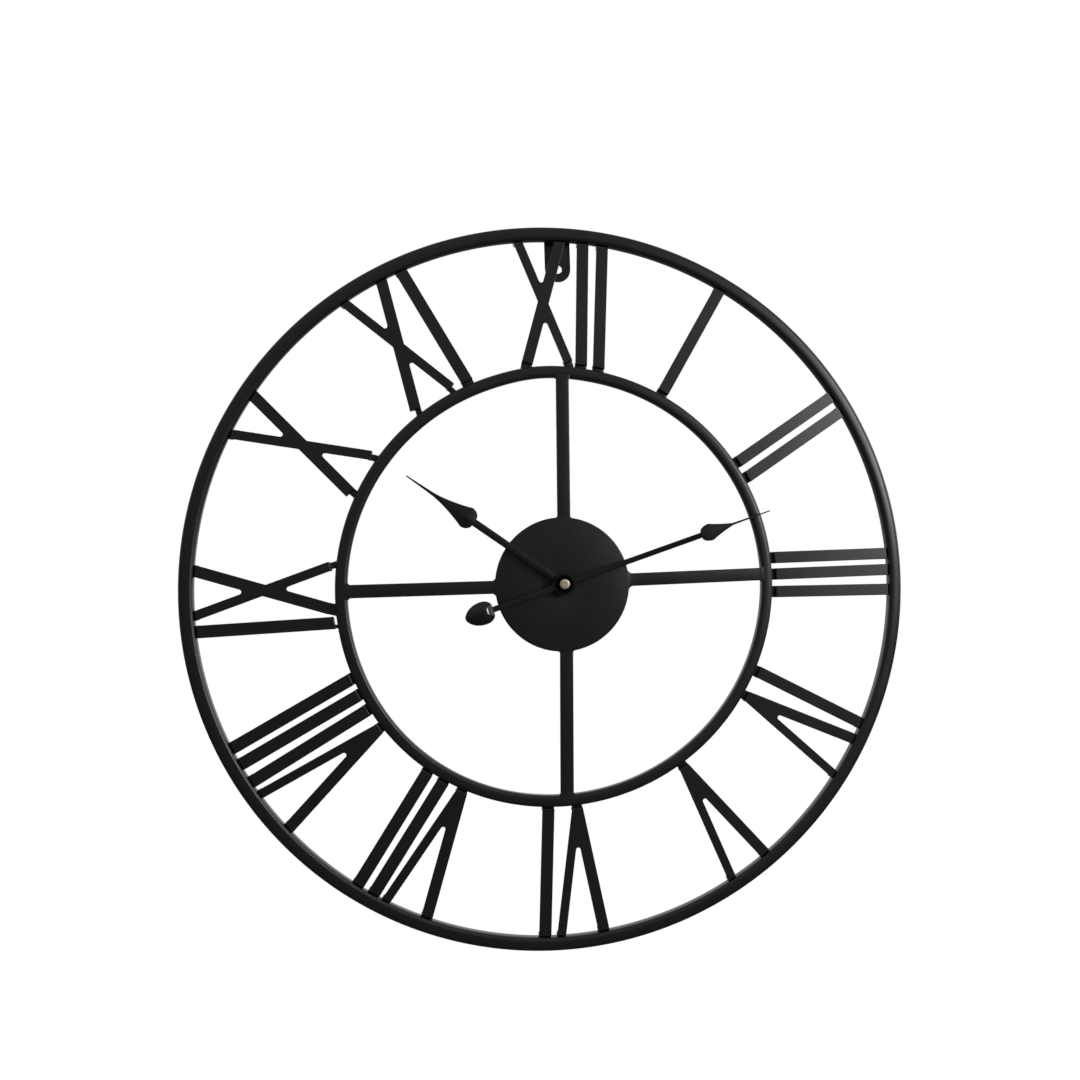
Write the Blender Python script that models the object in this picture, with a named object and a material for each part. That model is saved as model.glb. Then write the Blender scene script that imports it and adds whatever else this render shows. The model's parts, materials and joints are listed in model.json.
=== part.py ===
"""Skeleton wall clock: welded steel rings and Roman numerals round a battery quartz movement.

Axes: +Z up, the dial faces -Y, the wall is the plane y = 0, +X is to the viewer's right.
The origin is where the hands' axis meets the flat back of the movement.
All lengths below are in millimetres; meshes are written in metres.
"""
import math

import bmesh
import bpy
from mathutils import Vector

MM = 0.001
GAP = 0.3                     # between pieces that touch on the real clock

# Rings, hub and spokes. Their front faces share one plane.
FRONT = -19.3
OUTER_RADIUS = 250.4
OUTER_TUBE = 9.5
INNER_RADIUS = 151.9
INNER_TUBE = 8.3
TUBE_CHAMFER = 1.5
WELD_GAP = 0.4                # between a bar's end and the ring that it is welded to
# The inner ring is a little out of round: clock angle, height and width of each swelling.
SWELLINGS = ((218.0, 2.65, 27.0), (356.0, 0.95, 7.0), (110.0, -0.5, 25.0))
OUTER_SEGMENTS = 96
INNER_SEGMENTS = 80
HUB_RADIUS = 46.5
HUB_THICKNESS = 2.0
SPOKE_WIDTH = 9.0
SPOKE_DEPTH = 4.0
FILLET_START = 15.0
# clock angle in degrees, then for the hub and for the inner ring: sideways offset, weld fillet
SPOKES = {
    "spoke_top": (0.0, (2.3, 1.0), (4.0, 1.1)),
    "spoke_right": (90.0, (-1.5, 2.6), (-2.0, 1.0)),
    "spoke_bottom": (180.0, (-1.2, 1.0), (1.7, 0.9)),
    "spoke_left": (270.0, (-0.4, 1.7), (-0.2, 1.5)),
}

# Numerals: sheet-metal strokes with their ends bent back and welded to the rings.
SHEET = 2.0
NUMERAL_FRONT = FRONT + 1.5
NUMERAL_BACK = -11.2
MID_RADIUS = 197.0
STROKE_OUTER = OUTER_RADIUS - OUTER_TUBE - WELD_GAP
STROKE_INNER = 154.2
STROKE_CLEARANCE = 1.0        # at least this from an inner end's bend to the inner ring
TAB_FRONT = -14.6
TAB_BACK = -12.8
# Where an inner end's tab starts and stops, as parts of the end's width from its left.
FULL_TAB = (0.0, 1.0)
TABS = {
    (9, "I"): (0.04, 0.34),
    (9, "X thin"): (0.15, 0.85),
    (10, "X thin"): (0.0, 0.7),
    (10, "X thick"): (0.35, 1.0),
    (11, "X thin"): (0.0, 0.65),
    (11, "X thick"): (0.45, 1.0),
}
I_WIDTH = 8.3
X_THIN = 6.3
X_THICK = 7.7
X_HALF_ANGLE = 18.8
V_THIN = 6.0
V_THICK = 7.7
V_HALF_ANGLE = 9.6
V_FOOT = 7.3
NOTCH_RADIUS = 1.55
# stroke letter, sideways offset at MID_RADIUS, lean in degrees (clockwise positive)
NUMERALS = {
    1: (("I", -0.3, 1.0),),
    2: (("I", -9.7, -2.8), ("I", 3.2, -2.7)),
    3: (("I", -14.0, -0.3), ("I", -2.1, -0.3), ("I", 11.5, 1.0)),
    4: (("I", -11.7, -1.5), ("V", 11.2, 3.5)),
    5: (("V", -6.0, -1.6),),
    6: (("V", -5.9, -0.9), ("I", 17.3, 3.3)),
    7: (("V", -8.0, -3.1), ("I", 11.3, 3.8), ("I", 23.6, 3.5)),
    8: (("V", -21.6, -6.5), ("I", -1.8, 0.3), ("I", 10.7, 1.6), ("I", 22.5, 1.7)),
    9: (("I", -21.4, -1.5), ("X", 3.0, -0.4)),
    10: (("X", 0.5, -1.5),),
    11: (("X", -9.0, -1.7), ("I", 18.5, 0.7)),
    12: (("X", -7.0, -2.4), ("I", 20.2, 2.6), ("I", 33.4, 3.6)),
}

# Hanger: a tab with a nail hole, welded behind the top of the outer ring.
HANGER_X = 4.8
HANGER_WIDTH = 18.0
HANGER_TOP = 247.5
HANGER_BOTTOM = 213.8
HANGER_HOLE = 3.0
HANGER_FRONT = FRONT + OUTER_TUBE + GAP
HANGER_THICKNESS = 1.5

# Hands, set at twelve minutes past ten.
MINUTE_CLOCK_ANGLE = 72.4
HOUR_CLOCK_ANGLE = 306.4
HAND_SHEET = 0.8
HOUR_HAND_FRONT = -26.3
MINUTE_HAND_FRONT = -29.2
HOUR_HAND = {"boss": 6.6, "shaft": (2.7, 2.5), "base": 74.0, "shoulder": 80.2,
             "widest": 7.5, "needle": 109.5, "needle_width": 0.95, "tip": 128.7, "power": 1.6}
MINUTE_HAND = {"boss": 7.5, "shaft": (2.15, 1.9), "base": 102.3, "shoulder": 109.5,
               "widest": 6.0, "needle": 128.0, "needle_width": 0.75, "tip": 155.5, "power": 1.35}
TIP_WIDTH = 0.35
TAIL_END = 66.0
TAIL_WIDTH = 2.0
WEIGHT_BASE = 50.8
WEIGHT_WIDEST_AT = 57.8
WEIGHT_NECK = 2.5
WEIGHT_WIDTH = 7.9
WEIGHT_TIP = 71.4
WEIGHT_DEPTH = 3.4

# Quartz movement: a square plastic case with a threaded bush through the hub.
CASE_HALF = 28.0
CASE_CORNER = 4.0
CASE_WALL = 1.2
CASE_FRONT = -16.0
CASE_FLOOR = -15.0
COVER_FRONT = -1.5
PARTITION_TOP = -9.6
PARTITION_BOTTOM = -10.8
BAY_FLOOR = -15.3
BUSH_RADIUS = 4.0
BUSH_FRONT = -24.0
BUSH_BORE = 2.58
PLATE_FRONT = -4.4
PLATE_BACK = -3.4
BATTERY_RADIUS = 7.0
BATTERY_Z = -18.7
BATTERY_Y = -7.9
BATTERY_TERMINAL = 2.7
KNOB_RADIUS = 7.5
KNOB_FLUTE = 0.45
KNOB_HOLE = 8.0

# What holds the movement to the hub and the hands to their shafts.
BUSH_PLAY = 0.15
GASKET_RADIUS = 14.0
WASHER_RADIUS = 7.5
WASHER_THICKNESS = 0.8
HEXAGON_RADIUS = 6.35         # to the corners
HEXAGON_THICKNESS = 2.0
HAND_NUT_RADIUS = 3.5
HAND_NUT_THICKNESS = 2.1
HAND_NUT_BORE = 1.28
THREAD_RADIUS = 1.2           # of the minute shaft inside the hand nut
SHAFT_RADIUS = 1.6            # of the minute shaft inside the hour tube
HOUR_TUBE_RADIUS = 2.5
HOUR_TUBE_BORE = 1.68
HOUR_HAND_BORE = 2.6
MINUTE_HAND_BORE = 1.7

# Gears: one module throughout, thin teeth with plenty of backlash, as moulded ones have.
MODULE = 0.3
ADDENDUM = 0.75 * MODULE
DEDENDUM = 1.0 * MODULE
TOOTH_TIP = 0.20              # parts of a tooth pitch
TOOTH_ROOT = 0.55
PIVOT_RADIUS = 0.40
PIVOT_HOLE = 0.47
ARBOR_RADIUS = 0.5
MOTION_STUD = 0.55
MOTION_BORE = 0.62
CENTRE_SHAFT = 0.8            # of the minute shaft where the centre wheel clutches it
CENTRE_BORE = 0.87
MAGNET_RADIUS = 3.0
MAGNET_HOLE = 3.5
MINUTE_PINION_TEETH = 10
MOTION_WHEEL_TEETH = 30
MOTION_PINION_TEETH = 8
HOUR_WHEEL_TEETH = 32
KNOB_PINION_TEETH = 10
TRAIN_PINION_TEETH = 6
CENTRE_WHEEL_TEETH = 48
THIRD_WHEEL_TEETH = 45
SECOND_WHEEL_TEETH = 36
INTERMEDIATE_WHEEL_TEETH = 30

COLOURS = {
    # colour, metallic, roughness
    "black_paint": ((0.012, 0.014, 0.014), 0.0, 0.45),
    "hand_black": ((0.006, 0.007, 0.007), 0.0, 0.35),
    "gloss_black": ((0.004, 0.004, 0.004), 0.0, 0.08),
    "brass": ((0.62, 0.47, 0.28), 1.0, 0.30),
    "dark_brass": ((0.07, 0.055, 0.04), 1.0, 0.40),
    "case_black": ((0.015, 0.015, 0.016), 0.0, 0.40),
    "white_plastic": ((0.78, 0.76, 0.70), 0.0, 0.45),
    "rubber": ((0.02, 0.02, 0.02), 0.0, 0.80),
    "steel": ((0.55, 0.56, 0.57), 1.0, 0.35),
    "copper": ((0.60, 0.22, 0.10), 1.0, 0.35),
    "board_green": ((0.02, 0.14, 0.06), 0.0, 0.40),
    "magnet": ((0.05, 0.05, 0.055), 0.3, 0.50),
    "battery_wrap": ((0.03, 0.10, 0.26), 0.0, 0.30),
}


def clear_scene():
    for old in list(bpy.data.objects):
        bpy.data.objects.remove(old, do_unlink=True)


def get_material(name):
    if name in bpy.data.materials:
        return bpy.data.materials[name]
    colour, metallic, roughness = COLOURS[name]
    result = bpy.data.materials.new(name)
    result.use_nodes = True
    shader = result.node_tree.nodes["Principled BSDF"]
    shader.inputs["Base Color"].default_value = (*colour, 1.0)
    shader.inputs["Metallic"].default_value = metallic
    shader.inputs["Roughness"].default_value = roughness
    return result


def add_object(name, solid, material, origin=(0.0, 0.0, 0.0), parent=None):
    """Turn a bmesh in millimetres into an object whose origin is the given point."""
    offset = Vector(origin)
    for vertex in solid.verts:
        vertex.co = (vertex.co - offset) * MM
    bmesh.ops.recalc_face_normals(solid, faces=solid.faces)
    mesh = bpy.data.meshes.new(name)
    solid.to_mesh(mesh)
    solid.free()
    mesh.materials.append(get_material(material))
    mesh.shade_smooth()
    mesh.set_sharp_from_angle(angle=math.radians(30.0))
    result = bpy.data.objects.new(name, mesh)
    bpy.context.scene.collection.objects.link(result)
    result.location = offset * MM
    if parent is not None:
        result.parent = parent
        result.location = result.location - parent.location
    return result


def add_axis(name, x, y, z):
    """An empty on a joint's axis; the moving pieces hang from it."""
    result = bpy.data.objects.new(name, None)
    result.empty_display_size = 0.01
    result.location = (x * MM, y * MM, z * MM)
    bpy.context.scene.collection.objects.link(result)
    return result


def boolean(target, cutter, operation):
    """Apply one exact Boolean with an unlinked helper object and remove the helper."""
    modifier = target.modifiers.new(operation.lower(), "BOOLEAN")
    modifier.operation = operation
    modifier.solver = "EXACT"
    modifier.object = cutter
    bpy.context.view_layer.update()
    graph = bpy.context.evaluated_depsgraph_get()
    result = bpy.data.meshes.new_from_object(target.evaluated_get(graph))
    target.modifiers.remove(modifier)
    target.data = result
    bpy.data.objects.remove(cutter, do_unlink=True)
    result.shade_smooth()
    result.set_sharp_from_angle(angle=math.radians(30.0))


# Outlines are lists of (x, z) points in millimetres.

def circle(x, z, radius, segments):
    return [(x + radius * math.cos(2 * math.pi * k / segments),
             z + radius * math.sin(2 * math.pi * k / segments)) for k in range(segments)]


def arc(x, z, radius, start, end, steps):
    """Points on an arc, angles in degrees anticlockwise from +X."""
    angles = [math.radians(start + (end - start) * k / steps) for k in range(steps + 1)]
    return [(x + radius * math.cos(a), z + radius * math.sin(a)) for a in angles]


def rounded_rectangle(left, right, bottom, top, radius, steps=4):
    return (arc(right - radius, top - radius, radius, 0, 90, steps)
            + arc(left + radius, top - radius, radius, 90, 180, steps)
            + arc(left + radius, bottom + radius, radius, 180, 270, steps)
            + arc(right - radius, bottom + radius, radius, 270, 360, steps))


def plate(outline, holes, low, high, along="y"):
    """A flat plate with holes, between two levels along one axis."""
    solid = bmesh.new()
    edges = []
    for loop in [outline] + list(holes):
        if along == "y":
            ring = [solid.verts.new((a, low, b)) for a, b in loop]
        else:
            ring = [solid.verts.new((a, b, low)) for a, b in loop]
        for first, second in zip(ring, ring[1:] + ring[:1]):
            edges.append(solid.edges.new((first, second)))
    bmesh.ops.triangle_fill(solid, use_beauty=True, use_dissolve=False, edges=edges)
    extruded = bmesh.ops.extrude_face_region(solid, geom=list(solid.faces), use_keep_orig=True)
    shift = Vector((0, high - low, 0)) if along == "y" else Vector((0, 0, high - low))
    moved = [item for item in extruded["geom"] if isinstance(item, bmesh.types.BMVert)]
    bmesh.ops.translate(solid, vec=shift, verts=moved)
    return solid


def turned(profile, segments, x=0.0, z=0.0, closed=False, along="y"):
    """Turn (radius, level) points round an axis. A closed profile makes a ring."""
    solid = bmesh.new()
    rings = []
    for radius, level in profile:
        if radius == 0.0:
            point = (x, level, z) if along == "y" else (level, x, z)
            rings.append([solid.verts.new(point)])
            continue
        ring = []
        for a, b in circle(0.0, 0.0, radius, segments):
            point = (x + a, level, z + b) if along == "y" else (level, x + a, z + b)
            ring.append(solid.verts.new(point))
        rings.append(ring)
    pairs = list(zip(rings, rings[1:]))
    if closed:
        pairs.append((rings[-1], rings[0]))
    for first, second in pairs:
        for k in range(segments):
            n = (k + 1) % segments
            corners = [first[k % len(first)], first[n % len(first)],
                       second[n % len(second)], second[k % len(second)]]
            solid.faces.new(list(dict.fromkeys(corners)))
    return solid


def sheet_piece(cells):
    """A bent sheet as plan cells. Each cell is (points, front, back); cells share corners."""
    solid = bmesh.new()
    keys = [[(round(x, 4), round(z, 4)) for x, z in points] for points, _, _ in cells]
    levels = {}
    for names, (_, front, back) in zip(keys, cells):
        for name in names:
            levels.setdefault(name, set()).update((front, back))
    corners = {}

    def corner(name, level):
        if (name, level) not in corners:
            corners[(name, level)] = solid.verts.new((name[0], level, name[1]))
        return corners[(name, level)]

    owner = {}
    for index, names in enumerate(keys):
        for a, b in zip(names, names[1:] + names[:1]):
            owner[(a, b)] = index

    def wall(a, b, low, high):
        up = [corner(a, level) for level in sorted(levels[a]) if low <= level <= high]
        down = [corner(b, level) for level in sorted(levels[b], reverse=True) if low <= level <= high]
        solid.faces.new(up + down)

    for index, names in enumerate(keys):
        _, front, back = cells[index]
        solid.faces.new([corner(name, front) for name in names])
        solid.faces.new([corner(name, back) for name in reversed(names)])
        for a, b in zip(names, names[1:] + names[:1]):
            if (b, a) not in owner:
                wall(a, b, front, back)
                continue
            _, other_front, other_back = cells[owner[(b, a)]]
            if front < other_front:
                wall(a, b, front, other_front)
            if other_back < back:
                wall(a, b, other_back, back)
    return solid


# Rings and hub

def swelling(angle):
    """How far the inner ring stands out of round at a clock angle in radians."""
    total = 0.0
    for centre, height, width in SWELLINGS:
        away = (math.degrees(angle) - centre + 180.0) % 360.0 - 180.0
        total += height * math.exp(-0.5 * (away / width) ** 2)
    return total


def tube_ring(radius, tube, segments, bend=None):
    """A square tube with chamfered corners; bend(clock angle) moves it out of round."""
    back = FRONT + tube
    inner = radius - tube
    c = TUBE_CHAMFER
    profile = [(radius - c, FRONT), (radius, FRONT + c), (radius, back - c), (radius - c, back),
               (inner + c, back), (inner, back - c), (inner, FRONT + c), (inner + c, FRONT)]
    solid = turned(profile, segments, closed=True)
    if bend:
        for vertex in solid.verts:
            x, _, z = vertex.co
            scale = 1.0 + bend(math.atan2(x, z)) / math.hypot(x, z)
            vertex.co.x = x * scale
            vertex.co.z = z * scale
    return solid


def clock_point(angle, sideways, radius):
    """A point given by its clock angle in radians, its sideways offset and its radius."""
    return (radius * math.sin(angle) + sideways * math.cos(angle),
            radius * math.cos(angle) - sideways * math.sin(angle))


def on_circle(offset, slope, radius):
    """Where the line sideways = offset + slope * height meets a circle about the axis."""
    a = 1.0 + slope * slope
    b = offset * slope
    c = offset * offset - radius * radius
    height = (-b + math.sqrt(b * b - a * c)) / a
    return offset + slope * height, height


def weld_fillet(radius):
    """Points (half width, distance from the weld) from a spoke's wide end to its plain width."""
    points = []
    for k in range(5):
        turn = math.radians(FILLET_START + (90.0 - FILLET_START) * k / 4)
        points.append((SPOKE_WIDTH / 2.0 + radius * (1.0 - math.sin(turn)), radius * (1.0 - math.cos(turn))))
    return points


def build_spoke(name):
    degrees, (hub_side, hub_fillet), (ring_side, ring_fillet) = SPOKES[name]
    angle = math.radians(degrees)
    low = HUB_RADIUS + GAP
    high = INNER_RADIUS - INNER_TUBE + swelling(angle) - WELD_GAP
    slope = (ring_side - hub_side) / (high - low)
    at_hub, at_ring = weld_fillet(hub_fillet), weld_fillet(ring_fillet)

    def edge(sign):
        start = math.sqrt(low ** 2 - (hub_side + sign * at_hub[0][0]) ** 2)
        end = math.sqrt(high ** 2 - (ring_side + sign * at_ring[0][0]) ** 2)
        points = [(out, start + up) for out, up in at_hub[1:]]
        points += [(out, end - up) for out, up in reversed(at_ring[1:])]
        return [(hub_side + slope * (r - low) + sign * out, r) for out, r in points]

    outline = edge(1)
    for k in range(5):
        s = ring_side + at_ring[0][0] * (1.0 - k / 2)
        outline.append((s, math.sqrt(high * high - s * s)))
    outline += reversed(edge(-1))
    for k in range(5):
        s = hub_side - at_hub[0][0] * (1.0 - k / 2)
        outline.append((s, math.sqrt(low * low - s * s)))
    return plate([clock_point(angle, t, r) for t, r in outline], [], FRONT, FRONT + SPOKE_DEPTH)


# Numerals. A stroke's edge is a line (offset, slope): sideways = offset + slope * height.

def edge_line(offset, lean, shift):
    slope = math.tan(lean)
    return offset - slope * MID_RADIUS + shift / math.cos(lean), slope


def crossing(first, second):
    height = (second[0] - first[0]) / (first[1] - second[1])
    return first[0] + first[1] * height, height


def notch(left, right, outward):
    """A rounded notch between two edges that open outward (1) or inward (-1)."""
    radius = NOTCH_RADIUS
    left_line = (left[0] + radius * math.hypot(1.0, left[1]), left[1])
    right_line = (right[0] - radius * math.hypot(1.0, right[1]), right[1])
    centre = crossing(left_line, right_line)
    start = math.atan(-left[1])
    end = math.atan(-right[1])
    points = []
    for k in range(5):
        if outward > 0:
            turn = math.pi + start + (math.pi - start + end) * k / 4
        else:
            turn = math.pi + start - (math.pi + start - end) * k / 4
        points.append((centre[0] + radius * math.cos(turn), centre[1] + radius * math.sin(turn)))
    return points


def between(first, second, part):
    return tuple(p + (q - p) * part for p, q in zip(first, second))


def inner_radius(hour_angle, sideways):
    """Where a stroke's inner end stops, and where its tab meets the ring."""
    angle = hour_angle + math.asin(sideways / STROKE_INNER)
    ring = INNER_RADIUS + swelling(angle)
    return max(STROKE_INNER, ring + STROKE_CLEARANCE), ring + GAP


def round_end(left, right, radius):
    """An end that follows a circle about the axis: the points on its two edges."""
    return on_circle(*left, radius), on_circle(*right, radius)


def square_end(left, right, radius):
    """An end square to the stroke, with its nearer corner on the circle."""
    slope = left[1]
    reach = max(slope * t + h for t, h in round_end(left, right, radius))
    corners = []
    for offset, _ in (left, right):
        height = (reach - slope * offset) / (1.0 + slope * slope)
        corners.append((offset + slope * height, height))
    return tuple(corners)


def outer_end(left, right):
    """The bent-back outer end of a stroke between two edges."""
    far = round_end(left, right, STROKE_OUTER)
    near = round_end(left, right, STROKE_OUTER - SHEET)
    return [([far[0], far[1], near[1], near[0]], NUMERAL_FRONT, NUMERAL_BACK)]


def inner_end(left, right, cut, stop, foot, tab):
    """The bent-back inner end of a stroke, and the tab that joins it to the inner ring."""
    near = cut(left, right, stop + SHEET)
    a, b = cut(left, right, stop)
    tab_left, tab_right = between(a, b, tab[0]), between(a, b, tab[1])
    feet = round_end(left, right, foot)
    foot_left, foot_right = between(*feet, tab[0]), between(*feet, tab[1])
    loop = [near[0], near[1], b]
    if tab[1] < 1.0:
        loop.append(tab_right)
    if tab[0] > 0.0:
        loop.append(tab_left)
    loop.append(a)
    return [(loop, NUMERAL_FRONT, NUMERAL_BACK),
            ([tab_left, tab_right, foot_right, foot_left], TAB_FRONT, TAB_BACK)]


def stroke_i(hour, offset, lean):
    half = I_WIDTH / 2.0
    left = edge_line(offset, lean, -half)
    right = edge_line(offset, lean, half)
    stop, foot = inner_radius(hour, offset + math.tan(lean) * (STROKE_INNER - MID_RADIUS))
    top = round_end(left, right, STROKE_OUTER - SHEET)
    bottom = round_end(left, right, stop + SHEET)
    cells = [([top[0], top[1], bottom[1], bottom[0]], NUMERAL_FRONT, NUMERAL_FRONT + SHEET)]
    tab = TABS.get((round(math.degrees(hour) / 30.0), "I"), FULL_TAB)
    return cells + outer_end(left, right) + inner_end(left, right, round_end, stop, foot, tab)


def stroke_v(hour, offset, lean):
    spread = math.radians(V_HALF_ANGLE)
    point = offset + math.tan(lean) * (STROKE_INNER - MID_RADIUS)
    stop, foot = inner_radius(hour, point)
    slope_left = math.tan(lean - spread)
    slope_right = math.tan(lean + spread)
    left = (point - V_FOOT / 2.0 - slope_left * STROKE_INNER, slope_left)
    right = (point + V_FOOT / 2.0 - slope_right * STROKE_INNER, slope_right)
    left_inner = (left[0] + V_THICK / math.cos(lean - spread), slope_left)
    right_inner = (right[0] - V_THIN / math.cos(lean + spread), slope_right)
    top_left = round_end(left, left_inner, STROKE_OUTER - SHEET)
    top_right = round_end(right_inner, right, STROKE_OUTER - SHEET)
    bottom = round_end(left, right, stop + SHEET)
    face = [*top_left, *notch(left_inner, right_inner, 1), *top_right, bottom[1], bottom[0]]
    return [(face, NUMERAL_FRONT, NUMERAL_FRONT + SHEET)] + outer_end(left, left_inner) \
        + outer_end(right_inner, right) + inner_end(left, right, round_end, stop, foot, FULL_TAB)


def stroke_x(hour, offset, lean):
    spread = math.radians(X_HALF_ANGLE)
    legs = {}
    for name, turn, width in (("X thin", lean - spread, X_THIN), ("X thick", lean + spread, X_THICK)):
        left = edge_line(offset, turn, -width / 2.0)
        right = edge_line(offset, turn, width / 2.0)
        stop, foot = inner_radius(hour, offset + math.tan(turn) * (STROKE_INNER - MID_RADIUS))
        tab = TABS.get((round(math.degrees(hour) / 30.0), name), FULL_TAB)
        legs[name] = (left, right, square_end, stop, foot, tab)
    thin_left, thin_right, _, thin_stop = legs["X thin"][:4]
    thick_left, thick_right, _, thick_stop = legs["X thick"][:4]
    top = STROKE_OUTER - SHEET
    thin_bottom = square_end(thin_left, thin_right, thin_stop + SHEET)
    thick_bottom = square_end(thick_left, thick_right, thick_stop + SHEET)
    face = [*round_end(thin_left, thin_right, top), *notch(thin_right, thick_left, 1),
            *round_end(thick_left, thick_right, top), crossing(thick_right, thin_right),
            thin_bottom[1], thin_bottom[0], *reversed(notch(thick_right, thin_left, -1)),
            thick_bottom[1], thick_bottom[0], crossing(thick_left, thin_left)]
    return [(face, NUMERAL_FRONT, NUMERAL_FRONT + SHEET)] \
        + outer_end(thin_left, thin_right) + outer_end(thick_left, thick_right) \
        + inner_end(*legs["X thin"]) + inner_end(*legs["X thick"])


def build_numerals():
    shapes = {"I": stroke_i, "V": stroke_v, "X": stroke_x}
    for hour, strokes in NUMERALS.items():
        angle = math.radians(30.0 * hour)
        count = {}
        for letter, offset, lean in strokes:
            count[letter] = count.get(letter, 0) + 1
            repeats = sum(1 for stroke in strokes if stroke[0] == letter)
            suffix = f"_{count[letter]}" if repeats > 1 else ""
            cells = shapes[letter](angle, offset, math.radians(lean))
            placed = [([clock_point(angle, t, r) for t, r in points], front, back)
                      for points, front, back in cells]
            name = f"numeral_{hour:02d}_{letter.lower()}{suffix}"
            add_object(name, sheet_piece(placed), "black_paint")


def build_hanger():
    half = HANGER_WIDTH / 2.0
    centre = HANGER_BOTTOM + half
    outline = arc(HANGER_X, centre, half, 180, 360, 12)
    outline += [(HANGER_X + half, HANGER_TOP), (HANGER_X - half, HANGER_TOP)]
    hole = circle(HANGER_X, centre, HANGER_HOLE, 20)
    solid = plate(outline, [hole], HANGER_FRONT, HANGER_FRONT + HANGER_THICKNESS)
    add_object("hanger_tab", solid, "black_paint")


def build_frame():
    add_object("outer_ring", tube_ring(OUTER_RADIUS, OUTER_TUBE, OUTER_SEGMENTS), "black_paint")
    ring = tube_ring(INNER_RADIUS, INNER_TUBE, INNER_SEGMENTS, bend=swelling)
    add_object("inner_ring", ring, "black_paint")
    hub = plate(circle(0.0, 0.0, HUB_RADIUS, 80), [circle(0.0, 0.0, BUSH_RADIUS + 0.2, 24)],
                FRONT, FRONT + HUB_THICKNESS)
    add_object("hub_disc", hub, "black_paint")
    for name in SPOKES:
        add_object(name, build_spoke(name), "black_paint")
    build_numerals()
    build_hanger()


# Hands. A hand is drawn along its own axis as (along, across) and then turned to the hour.

def blade_side(hand):
    """One side of a spade hand from its boss to its tip, as (along, half width)."""
    near, far = hand["shaft"]
    start = math.sqrt(hand["boss"] ** 2 - near ** 2)
    side = [(start, near), (hand["base"], far)]
    reach = hand["shoulder"] - hand["base"]
    for k in range(1, 7):
        turn = math.radians(90.0 * k / 6)
        width = far + (hand["widest"] - far) * math.sin(turn)
        side.append((hand["base"] + reach * (1.0 - math.cos(turn)), width))
    length = hand["needle"] - hand["shoulder"]
    for k in range(1, 9):
        part = k / 8
        fall = (1.0 - part) ** hand["power"]
        width = hand["needle_width"] + (hand["widest"] - hand["needle_width"]) * fall
        side.append((hand["shoulder"] + length * part, width))
    side.append((hand["tip"], TIP_WIDTH))
    return side


def place_hand(points, clock_angle):
    """Turn (along, across) points so that +along points to the clock angle."""
    turn = math.radians(90.0 - clock_angle)
    return [(u * math.cos(turn) - v * math.sin(turn), u * math.sin(turn) + v * math.cos(turn))
            for u, v in points]


def boss_arc(radius, near, far):
    """The boss's round edge from the shaft's lower side round to the other end's lower side."""
    start = -math.degrees(math.asin(near / radius))
    end = -180.0 + math.degrees(math.asin(far / radius)) if far else -360.0 - start
    return arc(0.0, 0.0, radius, start, end, 10)


def build_hands(hour_axis, minute_axis):
    side = blade_side(HOUR_HAND)
    outline = side[1:] + [(u, -v) for u, v in reversed(side[1:])]
    outline += boss_arc(HOUR_HAND["boss"], HOUR_HAND["shaft"][0], None)
    outline = place_hand(outline, HOUR_CLOCK_ANGLE)
    hole = circle(0.0, 0.0, HOUR_HAND_BORE, 24)
    solid = plate(outline, [hole], HOUR_HAND_FRONT, HOUR_HAND_FRONT + HAND_SHEET)
    add_object("hour_hand", solid, "hand_black", (0, HOUR_HAND_FRONT, 0), hour_axis)

    side = blade_side(MINUTE_HAND)
    tail = TAIL_WIDTH
    boss = MINUTE_HAND["boss"]
    outline = side[1:] + [(u, -v) for u, v in reversed(side[1:])]
    outline += boss_arc(boss, MINUTE_HAND["shaft"][0], tail)
    outline += [(-TAIL_END, -tail), (-TAIL_END, tail)]
    outline += [(u, -v) for u, v in reversed(boss_arc(boss, MINUTE_HAND["shaft"][0], tail))]
    outline = place_hand(outline, MINUTE_CLOCK_ANGLE)
    hole = circle(0.0, 0.0, MINUTE_HAND_BORE, 20)
    solid = plate(outline, [hole], MINUTE_HAND_FRONT, MINUTE_HAND_FRONT + HAND_SHEET)
    add_object("minute_hand", solid, "hand_black", (0, MINUTE_HAND_FRONT, 0), minute_axis)
    build_counterweight(minute_axis)
    build_hand_nut(minute_axis)


def weight_outline(scale):
    """A leaf with round shoulders towards the axis and a blunt point outwards."""
    middle = WEIGHT_WIDEST_AT
    half = [(WEIGHT_BASE + 0.2, WEIGHT_NECK)]
    for k in range(1, 6):
        turn = math.radians(90.0 * k / 5)
        width = WEIGHT_NECK + (WEIGHT_WIDTH - WEIGHT_NECK) * math.sin(turn)
        half.append((middle - (middle - WEIGHT_BASE) * math.cos(turn), width))
    for k in range(1, 7):
        part = k / 7
        width = WEIGHT_WIDTH * (1.0 - part ** 2.3) ** 0.75
        half.append((middle + (WEIGHT_TIP - middle) * part, width))
    half.append((WEIGHT_TIP, 0.0))
    outline = [(-u, v) for u, v in half] + [(-u, -v) for u, v in reversed(half[:-1])]
    centre = -(middle + 1.0)
    return [(centre + (u - centre) * scale, v * scale) for u, v in outline]


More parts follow.
